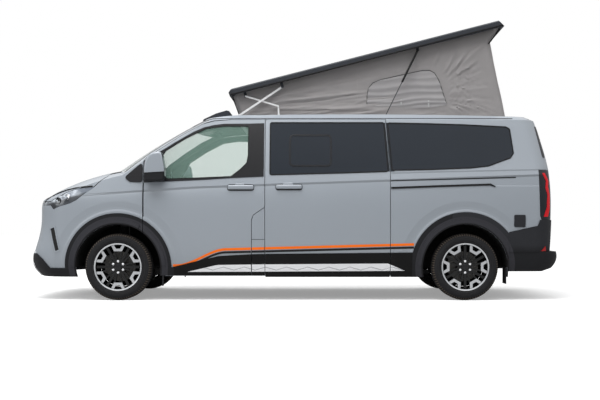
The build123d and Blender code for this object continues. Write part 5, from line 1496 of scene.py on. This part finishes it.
# Columns: start x, z, end x, z, half width, depth, sideways bow
FOLDS = [
    (0.10, 2.085, 0.80, 2.150, 0.022, 0.009, 0.012), (-0.35, 2.020, 0.45, 2.075, 0.026, 0.008, -0.010),
    (-0.42, 1.965, 0.50, 1.985, 0.020, 0.007, 0.010), (0.15, 1.915, 0.85, 1.985, 0.024, 0.009, -0.012),
    (0.42, 1.900, 1.00, 1.955, 0.018, 0.007, 0.008), (-0.20, 2.090, 0.35, 2.200, 0.030, 0.005, 0.0),
    (0.30, 2.235, 0.90, 2.330, 0.028, 0.004, 0.008), (0.95, 1.890, 1.60, 1.930, 0.018, 0.006, 0.006),
    (1.58, 2.300, 1.80, 2.560, 0.016, 0.008, 0.012), (1.56, 2.330, 1.68, 2.610, 0.018, 0.007, 0.014),
    (1.60, 2.270, 1.92, 2.480, 0.016, 0.007, 0.010), (1.62, 2.215, 1.98, 2.350, 0.015, 0.006, 0.006),
    (1.62, 2.160, 2.02, 2.215, 0.015, 0.006, -0.004), (1.63, 2.050, 1.98, 1.960, 0.016, 0.007, -0.008),
    (1.62, 2.020, 1.86, 1.890, 0.016, 0.008, -0.008), (1.60, 2.090, 2.08, 2.060, 0.014, 0.005, -0.004),
    (1.45, 2.410, 1.52, 2.610, 0.020, 0.005, 0.008), (1.30, 2.395, 1.22, 2.550, 0.024, 0.004, 0.0),
    (1.98, 2.640, 1.74, 2.420, 0.020, 0.005, 0.006), (2.12, 1.900, 1.86, 2.000, 0.018, 0.006, 0.006),
    (-0.50, 1.900, -0.20, 1.935, 0.020, 0.007, 0.004), (-0.45, 2.040, -0.15, 2.090, 0.020, 0.006, -0.006),
    (0.62, 2.020, 0.76, 2.060, 0.012, 0.004, 0.0), (1.05, 2.380, 1.45, 2.470, 0.030, 0.004, 0.006),
    (1.70, 1.888, 2.10, 1.905, 0.016, 0.006, 0.004), (0.00, 1.885, 0.60, 1.895, 0.016, 0.006, 0.003),
]
random.seed(7)
for _ in range(46):
    share = random.random()
    start_x, start_z = 1.64 + random.uniform(-0.05, 0.10), 2.18 + random.uniform(-0.20, 0.22)
    turn = math.radians(random.uniform(-55, 78))
    reach = random.uniform(0.10, 0.30)
    FOLDS.append((start_x, start_z, start_x + reach * math.cos(turn), start_z + reach * math.sin(turn),
                  random.uniform(0.006, 0.011), random.uniform(0.0015, 0.004), random.uniform(-0.008, 0.008)))
for _ in range(34):
    start_x, start_z = random.uniform(-0.45, 1.3), random.uniform(1.875, 2.12)
    reach = random.uniform(0.16, 0.45)
    FOLDS.append((start_x, start_z, start_x + reach, start_z + reach * random.uniform(0.02, 0.16),
                  random.uniform(0.008, 0.014), random.uniform(0.0012, 0.003), random.uniform(-0.008, 0.008)))


def canvas_depth(x, z):
    """How far the cloth stands out from its flat place at a point in side view, in metres."""
    depth = 0.004 * math.sin(x * 2.3 + z * 5.0) + 0.003 * math.sin(x * 5.1 - z * 7.0 + 1.0)
    for x0, z0, x1, z1, width, deep, bow in FOLDS:
        run_x, run_z = x1 - x0, z1 - z0
        length = math.hypot(run_x, run_z)
        share = ((x - x0) * run_x + (z - z0) * run_z) / length ** 2
        if -0.05 < share < 1.05:
            arch = math.sin(math.pi * min(1, max(0, share)))
            across = ((x - x0) * run_z - (z - z0) * run_x) / length - bow * arch
            if abs(across) < 3.2 * width:
                fade = arch ** 0.7
                bend = across / width
                depth -= 1.7 * deep * fade * (math.exp(-bend * bend) - 0.55 * math.exp(-(bend - 1.5) ** 2))
    low, high = canvas_span(x)
    edge = min(z - low, high - z)
    return depth * min(1, max(0, edge / 0.035))


def canvas_span(x):
    """Height of the cloth's foot and head at a place along the van."""
    share = (x - HEAD_FRONT[0]) / (HEAD_REAR[0] - HEAD_FRONT[0])
    return FOOT_FRONT[1], HEAD_FRONT[1] + share * (HEAD_REAR[1] - HEAD_FRONT[1])


print(len(FOLDS), "folds")

# %% [markdown]
# ## The tent's cloth
# The cloth is sewn from flat panels into a band with four rounded corners. So the mesh is a ring of points,
# repeated in rows from the roof up to the lid, and each point on a side moves out or in by the depth of the
# folds there. That gives a fine even net, which folds need, and solidify gives the cloth its thickness.

# %% Canvas mesh
ROWS, SIDE_STEPS, END_STEPS, CORNER_STEPS = 60, 230, 40, 6
WAIST_ROW, CLOTH_THICK = 0.84, 0.0015


def canvas_ring():
    """Places round the tent: share of the length from front to rear, and distance to the right."""
    length = FOOT_REAR[0] - FOOT_FRONT[0]
    reach, turn = CANVAS_CORNER / length, CANVAS_CORNER
    half = [(reach + (1 - 2 * reach) * i / SIDE_STEPS, -CANVAS_HALF) for i in range(SIDE_STEPS)]
    half += [(1 - reach + reach * math.sin(a), -CANVAS_HALF + turn - turn * math.cos(a))
             for a in (math.pi / 2 * i / CORNER_STEPS for i in range(CORNER_STEPS))]
    half += [(1.0, -CANVAS_HALF + turn + (2 * CANVAS_HALF - 2 * turn) * i / END_STEPS)
             for i in range(END_STEPS)]
    return half + [(1 - share, -y) for share, y in half]


def on_line(start, end, share):
    """The point at a share of the way from start to end."""
    return start[0] + (end[0] - start[0]) * share, start[1] + (end[1] - start[1]) * share


def canvas_point(share, y, row):
    """Point of the flat-sided tent: share of its length, distance to the right and share of its height."""
    front = on_line(FOOT_FRONT, HEAD_FRONT, row)
    if row < WAIST_ROW:
        rear = on_line(FOOT_REAR, WAIST, row / WAIST_ROW)
    else:
        rear = on_line(WAIST, HEAD_REAR, (row - WAIST_ROW) / (1 - WAIST_ROW))
    x, z = on_line(front, rear, share)
    return Vector((x, y, z))


canvas_mesh = bmesh.new()
ring = canvas_ring()
grid = []
for row in range(ROWS + 1):
    level = row / ROWS
    line = []
    for share, y in ring:
        point = canvas_point(share, y, level)
        if abs(y) > CANVAS_HALF - 0.001:
            point.y += math.copysign(canvas_depth(point.x, point.z), y)
        elif share > 0.999:
            point.x += 0.006 * math.sin(y * 9) * math.sin(level * 9) * math.sin(math.pi * level)
        line.append(canvas_mesh.verts.new(point))
    grid.append(line)
for low_row, high_row in zip(grid, grid[1:]):
    for i in range(len(ring)):
        j = (i + 1) % len(ring)
        canvas_mesh.faces.new((low_row[i], low_row[j], high_row[j], high_row[i]))
bmesh.ops.recalc_face_normals(canvas_mesh, faces=canvas_mesh.faces)
canvas_area = sum(f.calc_area() for f in canvas_mesh.faces)
bmesh.ops.solidify(canvas_mesh, geom=canvas_mesh.faces[:], thickness=CLOTH_THICK)
canvas_piece = piece("canvas_tent", canvas_mesh, canvas_finish, "root")
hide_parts("canvas")
print("tent cloth", round(canvas_area, 2), "square metres")

# %% [markdown]
# ## Window blinds
# The tent has a window in each side, shut by a blind of thinner cloth with a zip round its edge. The blind
# hangs slack, so level folds of its own lie on top of the tent's. It is cut from a fine net, one straight
# cut for each side of its outline, because an even net folds better than one long face.

# %% Blind shape
PANE = [(0.760, 1.960), (0.762, 2.10), (0.776, 2.180), (0.820, 2.235), (0.90, 2.268), (1.10, 2.314),
        (1.34, 2.366), (1.41, 2.368), (1.462, 2.340), (1.505, 2.270), (1.535, 2.180), (1.590, 2.005),
        (1.40, 1.975), (1.0, 1.962)]
# Columns: height at the window's middle, width, depth
BLIND_FOLDS = ((2.055, 0.020, 0.010), (2.13, 0.016, 0.007), (2.20, 0.024, 0.009), (2.01, 0.014, 0.008),
               (2.28, 0.020, 0.006), (2.33, 0.014, 0.004))


def pane_depth(x, z):
    """How far the blind's own folds stand out on top of the tent's."""
    level = 0.0
    for height, width, deep in BLIND_FOLDS:
        line = height + 0.065 * (x - 1.15) + 0.008 * math.sin(x * 11 + height * 9)
        level += deep * math.exp(-((z - line) / width) ** 2)
    return level


def pane_mesh(side, inset, lift, cell=0.009):
    """The blind's cloth, cut from a fine net by the window's outline."""
    outline = grown(PANE, -inset)
    low_x, high_x = min(p[0] for p in outline), max(p[0] for p in outline)
    low_z, high_z = min(p[1] for p in outline), max(p[1] for p in outline)
    net = bmesh.new()
    columns, rows = int((high_x - low_x) / cell) + 1, int((high_z - low_z) / cell) + 1
    bmesh.ops.create_grid(net, x_segments=columns, y_segments=rows, size=0.5)
    for vert in net.verts:
        across, up = vert.co.x + 0.5, vert.co.y + 0.5
        vert.co = Vector((low_x + across * (high_x - low_x), 0, low_z + up * (high_z - low_z)))
    middle = Vector((sum(p[0] for p in outline) / len(outline), 0, sum(p[1] for p in outline) / len(outline)))
    for (x0, z0), (x1, z1) in pairs(outline):
        away = Vector((z1 - z0, 0, x0 - x1))
        if away.dot(Vector((x0, 0, z0)) - middle) < 0:
            away.negate()
        bmesh.ops.bisect_plane(net, geom=[*net.verts, *net.edges, *net.faces], dist=1e-6,
                               plane_co=(x0, 0, z0), plane_no=away, clear_outer=True)
    for vert in net.verts:
        x, _, z = vert.co
        edge = min(abs(z - low_z), abs(high_z - z), 0.03) / 0.03
        vert.co.y = side * (CANVAS_HALF + canvas_depth(x, z) + lift + pane_depth(x, z) * (0.3 + 0.7 * edge))
    return net


def on_cloth(x, z, side, out, folds=0.0):
    """A point over the tent's side, on a share of the blind's folds and a distance further out."""
    return Vector((x, side * (CANVAS_HALF + canvas_depth(x, z) + out + pane_depth(x, z) * folds), z))


print("blind outline of", len(PANE), "corners with", len(BLIND_FOLDS), "folds")

# %% [markdown]
# ## Blinds, zips, ties and seams
# The zip is a thin cord along the blind's edge, and two webbing ties hang near its foot. In front of the
# window a seam joins two panels of the tent. All of them follow the cloth through one helper, and all of
# them are soft, so they go on one list with the tent's cloth.

# %% Blinds, zips, ties and seams
ZIP_CORNERS = PANE[:12]
TIE_PLACES = ((1.115, 2.03), (1.40, 2.02))
SEAM_X, SEAM_FOOT, SEAM_LENGTH, SEAM_STEPS = 0.66, 1.86, 0.49, 40
CANVAS_SOFT = [canvas_piece]
for hand, side in SIDES:
    net = pane_mesh(side, 0.0, 0.0026)
    bmesh.ops.recalc_face_normals(net, faces=net.faces)
    area = sum(f.calc_area() for f in net.faces)
    bmesh.ops.solidify(net, geom=net.faces[:], thickness=0.0012)
    blind = piece(f"window_blind_{hand}", net, blind_finish, "root")
    zip_line = []
    for start, end in zip(ZIP_CORNERS, ZIP_CORNERS[1:]):
        for i in range(8):
            x, z = on_line(start, end, i / 8)
            zip_line.append(on_cloth(x, z, side, 0.005, 0.35))
    zipper = wire(f"window_zip_{hand}", zip_line, 0.0034, zip_dark, "root")
    ties = bmesh.new()
    for x, z in TIE_PLACES:
        brick(on_cloth(x, z, side, 0.006, 1.0), (0.014, 0.006, 0.07), 0.002, mesh=ties)
    tie = piece(f"window_ties_{hand}", ties, tie_light, "root")
    seam_line = [on_cloth(SEAM_X, SEAM_FOOT + SEAM_LENGTH * i / SEAM_STEPS, side, 0.0012)
                 for i in range(SEAM_STEPS + 1)]
    seam = wire(f"canvas_seam_{hand}", seam_line, 0.0016, canvas_finish, "root")
    CANVAS_SOFT += [blind, zipper, tie, seam]
min(canvas_area * 0.985, 4.95)
print("windows in the tent")

# %% [markdown]
# ## Straps and cords
# A rubber strap pulls the cloth in at its upper rear corner, and a cord edges the gusset in front.

# %% Canvas edges
STRAP = ((2.150, 0.650, 2.795), (2.080, 0.655, 2.715), (2.026, 0.657, 2.645))
GUSSET = ((-0.634, 0.600, 2.075), (-0.600, 0.612, 1.99), (-0.560, 0.612, 1.88))
for hand, side in SIDES:
    strap_line, gusset_line = ([Vector((x, side * y, z)) for x, y, z in line] for line in (STRAP, GUSSET))
    strap = wire(f"canvas_strap_{hand}", strap_line, 0.007, rubber, "root")
    gusset = wire(f"canvas_gusset_{hand}", gusset_line, 0.005, rubber, "root")
    CANVAS_SOFT += [strap, gusset]
for soft in CANVAS_SOFT:
    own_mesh(soft)
print(len(CANVAS_SOFT), "soft pieces fold down with the roof")

# %% [markdown]
# ## Lid lip
# A rubber lip along each side of the lid seals it on the roof when it is shut. It is made level as a long
# thin block and then turned to the open lid's slope, which is easier than building it on a slope.

# %% Lid lip
LIP_SIZE, LIP_PLACE = (2.90, 0.006, 0.013), (0.909, 0.7615, 0.0465)
LID_CORNER, LID_TURN = Vector((-0.116, 0, 2.189)), math.radians(14.34)


def on_lid(x, y, z):
    """A point given along, across and square to the open lid."""
    return LID_CORNER + Vector((x * math.cos(LID_TURN) - z * math.sin(LID_TURN), y,
                                x * math.sin(LID_TURN) + z * math.cos(LID_TURN)))


for hand, side in SIDES:
    lip = bmesh.new()
    brick((0, 0, 0), LIP_SIZE, 0.002, mesh=lip)
    bmesh.ops.rotate(lip, matrix=Matrix.Rotation(-LID_TURN, 3, "Y"), verts=lip.verts)
    along, across, over = LIP_PLACE
    bmesh.ops.translate(lip, vec=on_lid(along, side * across, over), verts=lip.verts)
    piece(f"lid_lip_{hand}", lip, rubber, "roof_lid")
print("lid lips")

# %% [markdown]
# ## Pads
# A cushion is full in the middle and pulls in at its seams. A rounded block alone looks hard, so each pad
# starts as a cube of small faces that is drawn a little towards a ball, and then its top and bottom swell
# between sewn channels.

# %% Pad tool
def pad(mesh, centre, size, tilt=0.0, swell=0.018, channels=0, steps=12):
    """A crowned cushion: its faces swell between the seams, and sewn channels run across it."""
    seams = [-0.5 + i / max(1, channels - 1) for i in range(channels)]
    fresh = bmesh.new()
    bmesh.ops.create_cube(fresh, size=1.0)
    bmesh.ops.subdivide_edges(fresh, edges=fresh.edges[:], cuts=steps, use_grid_fill=True)
    half = Vector(size) / 2
    for vert in fresh.verts:
        x, y, z = (c * 2 for c in vert.co)
        ball = Vector((x * math.sqrt(max(0, 1 - y * y / 2 - z * z / 2 + y * y * z * z / 3)),
                       y * math.sqrt(max(0, 1 - z * z / 2 - x * x / 2 + z * z * x * x / 3)),
                       z * math.sqrt(max(0, 1 - x * x / 2 - y * y / 2 + x * x * y * y / 3))))
        soft = Vector((x, y, z)).lerp(ball, 0.22)
        place = Vector((soft.x * half.x, soft.y * half.y, soft.z * half.z))
        crown = (1 - x * x) * (1 - y * y)
        if abs(z) > 0.99:
            groove = sum(math.exp(-((x - seam) / 0.05) ** 2) for seam in seams)
            place.z += math.copysign(swell * crown - 0.006 * groove * (1 - y ** 8), z)
        vert.co = place
    bmesh.ops.rotate(fresh, matrix=Matrix.Rotation(-tilt, 3, "Y"), verts=fresh.verts)
    bmesh.ops.translate(fresh, vec=centre, verts=fresh.verts)
    data = bpy.data.meshes.new("pad")
    fresh.to_mesh(data)
    fresh.free()
    mesh.from_mesh(data)
    bpy.data.meshes.remove(data)
    return mesh


print("pad tool ready")

# %% [markdown]
# ## Front seats and bench
# Each front seat is a cushion, a leaning back and a headrest on two posts, over a plain base. The bench
# behind seats two and stands on a box. The new pads take the place of the frame's plain seats, because a
# padded cushion with its crown and channels is all that shows of a seat through the door's glass.

# %% Front seats and bench
SEAT_Y, BENCH_Y = 0.44, -0.045
seats_made = []
for hand, side in SIDES:
    y = side * SEAT_Y
    cushion = pad(bmesh.new(), (-0.725, y, 0.735), (0.50, 0.47, 0.125), 0.0, 0.02, 3)
    back = pad(bmesh.new(), (-0.415, y, 1.075), (0.62, 0.46, 0.115), math.radians(78), 0.018, 4)
    head = pad(bmesh.new(), (-0.335, y, 1.475), (0.17, 0.26, 0.085), math.radians(82), 0.014)
    seats_made += [piece(f"seat_cushion_{hand}", cushion, FINISHES["seat"], "root"),
                   piece(f"seat_back_{hand}", back, FINISHES["seat"], "root"),
                   piece(f"headrest_{hand}", head, FINISHES["seat"], "root")]
    base = brick((-0.70, y, 0.552), (0.36, 0.40, 0.24), 0.02)
    piece(f"seat_base_{hand}", base, FINISHES["dash"], "root")
    posts = bmesh.new()
    for offset in (-0.06, 0.06):
        brick((-0.345, y + offset, 1.39), (0.012, 0.012, 0.10), 0.003, mesh=posts)
    piece(f"headrest_posts_{hand}", posts, chrome, "root")
bench_seat = pad(bmesh.new(), (1.18, BENCH_Y, 0.79), (0.46, 0.98, 0.14), 0.0, 0.02, 3)
bench_back = pad(bmesh.new(), (1.53, BENCH_Y, 1.16), (0.62, 0.98, 0.115), math.radians(80), 0.018, 4)
seats_made += [piece("bench_cushion", bench_seat, FINISHES["seat"], "root"),
               piece("bench_back", bench_back, FINISHES["seat"], "root")]
bench_box = brick((1.25, BENCH_Y, 0.575), (0.56, 0.98, 0.285), 0.015)
piece("bench_box", bench_box, FINISHES["furniture"], "root")
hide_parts("seats")
print(len(seats_made), "padded pieces")

# %% [markdown]
# ## Sizes
# The last step measures the van with everything on it and prints its size.

# %% Sizes
low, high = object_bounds()
print("the finished van measures", [round(b - a, 3) for a, b in zip(low, high)])
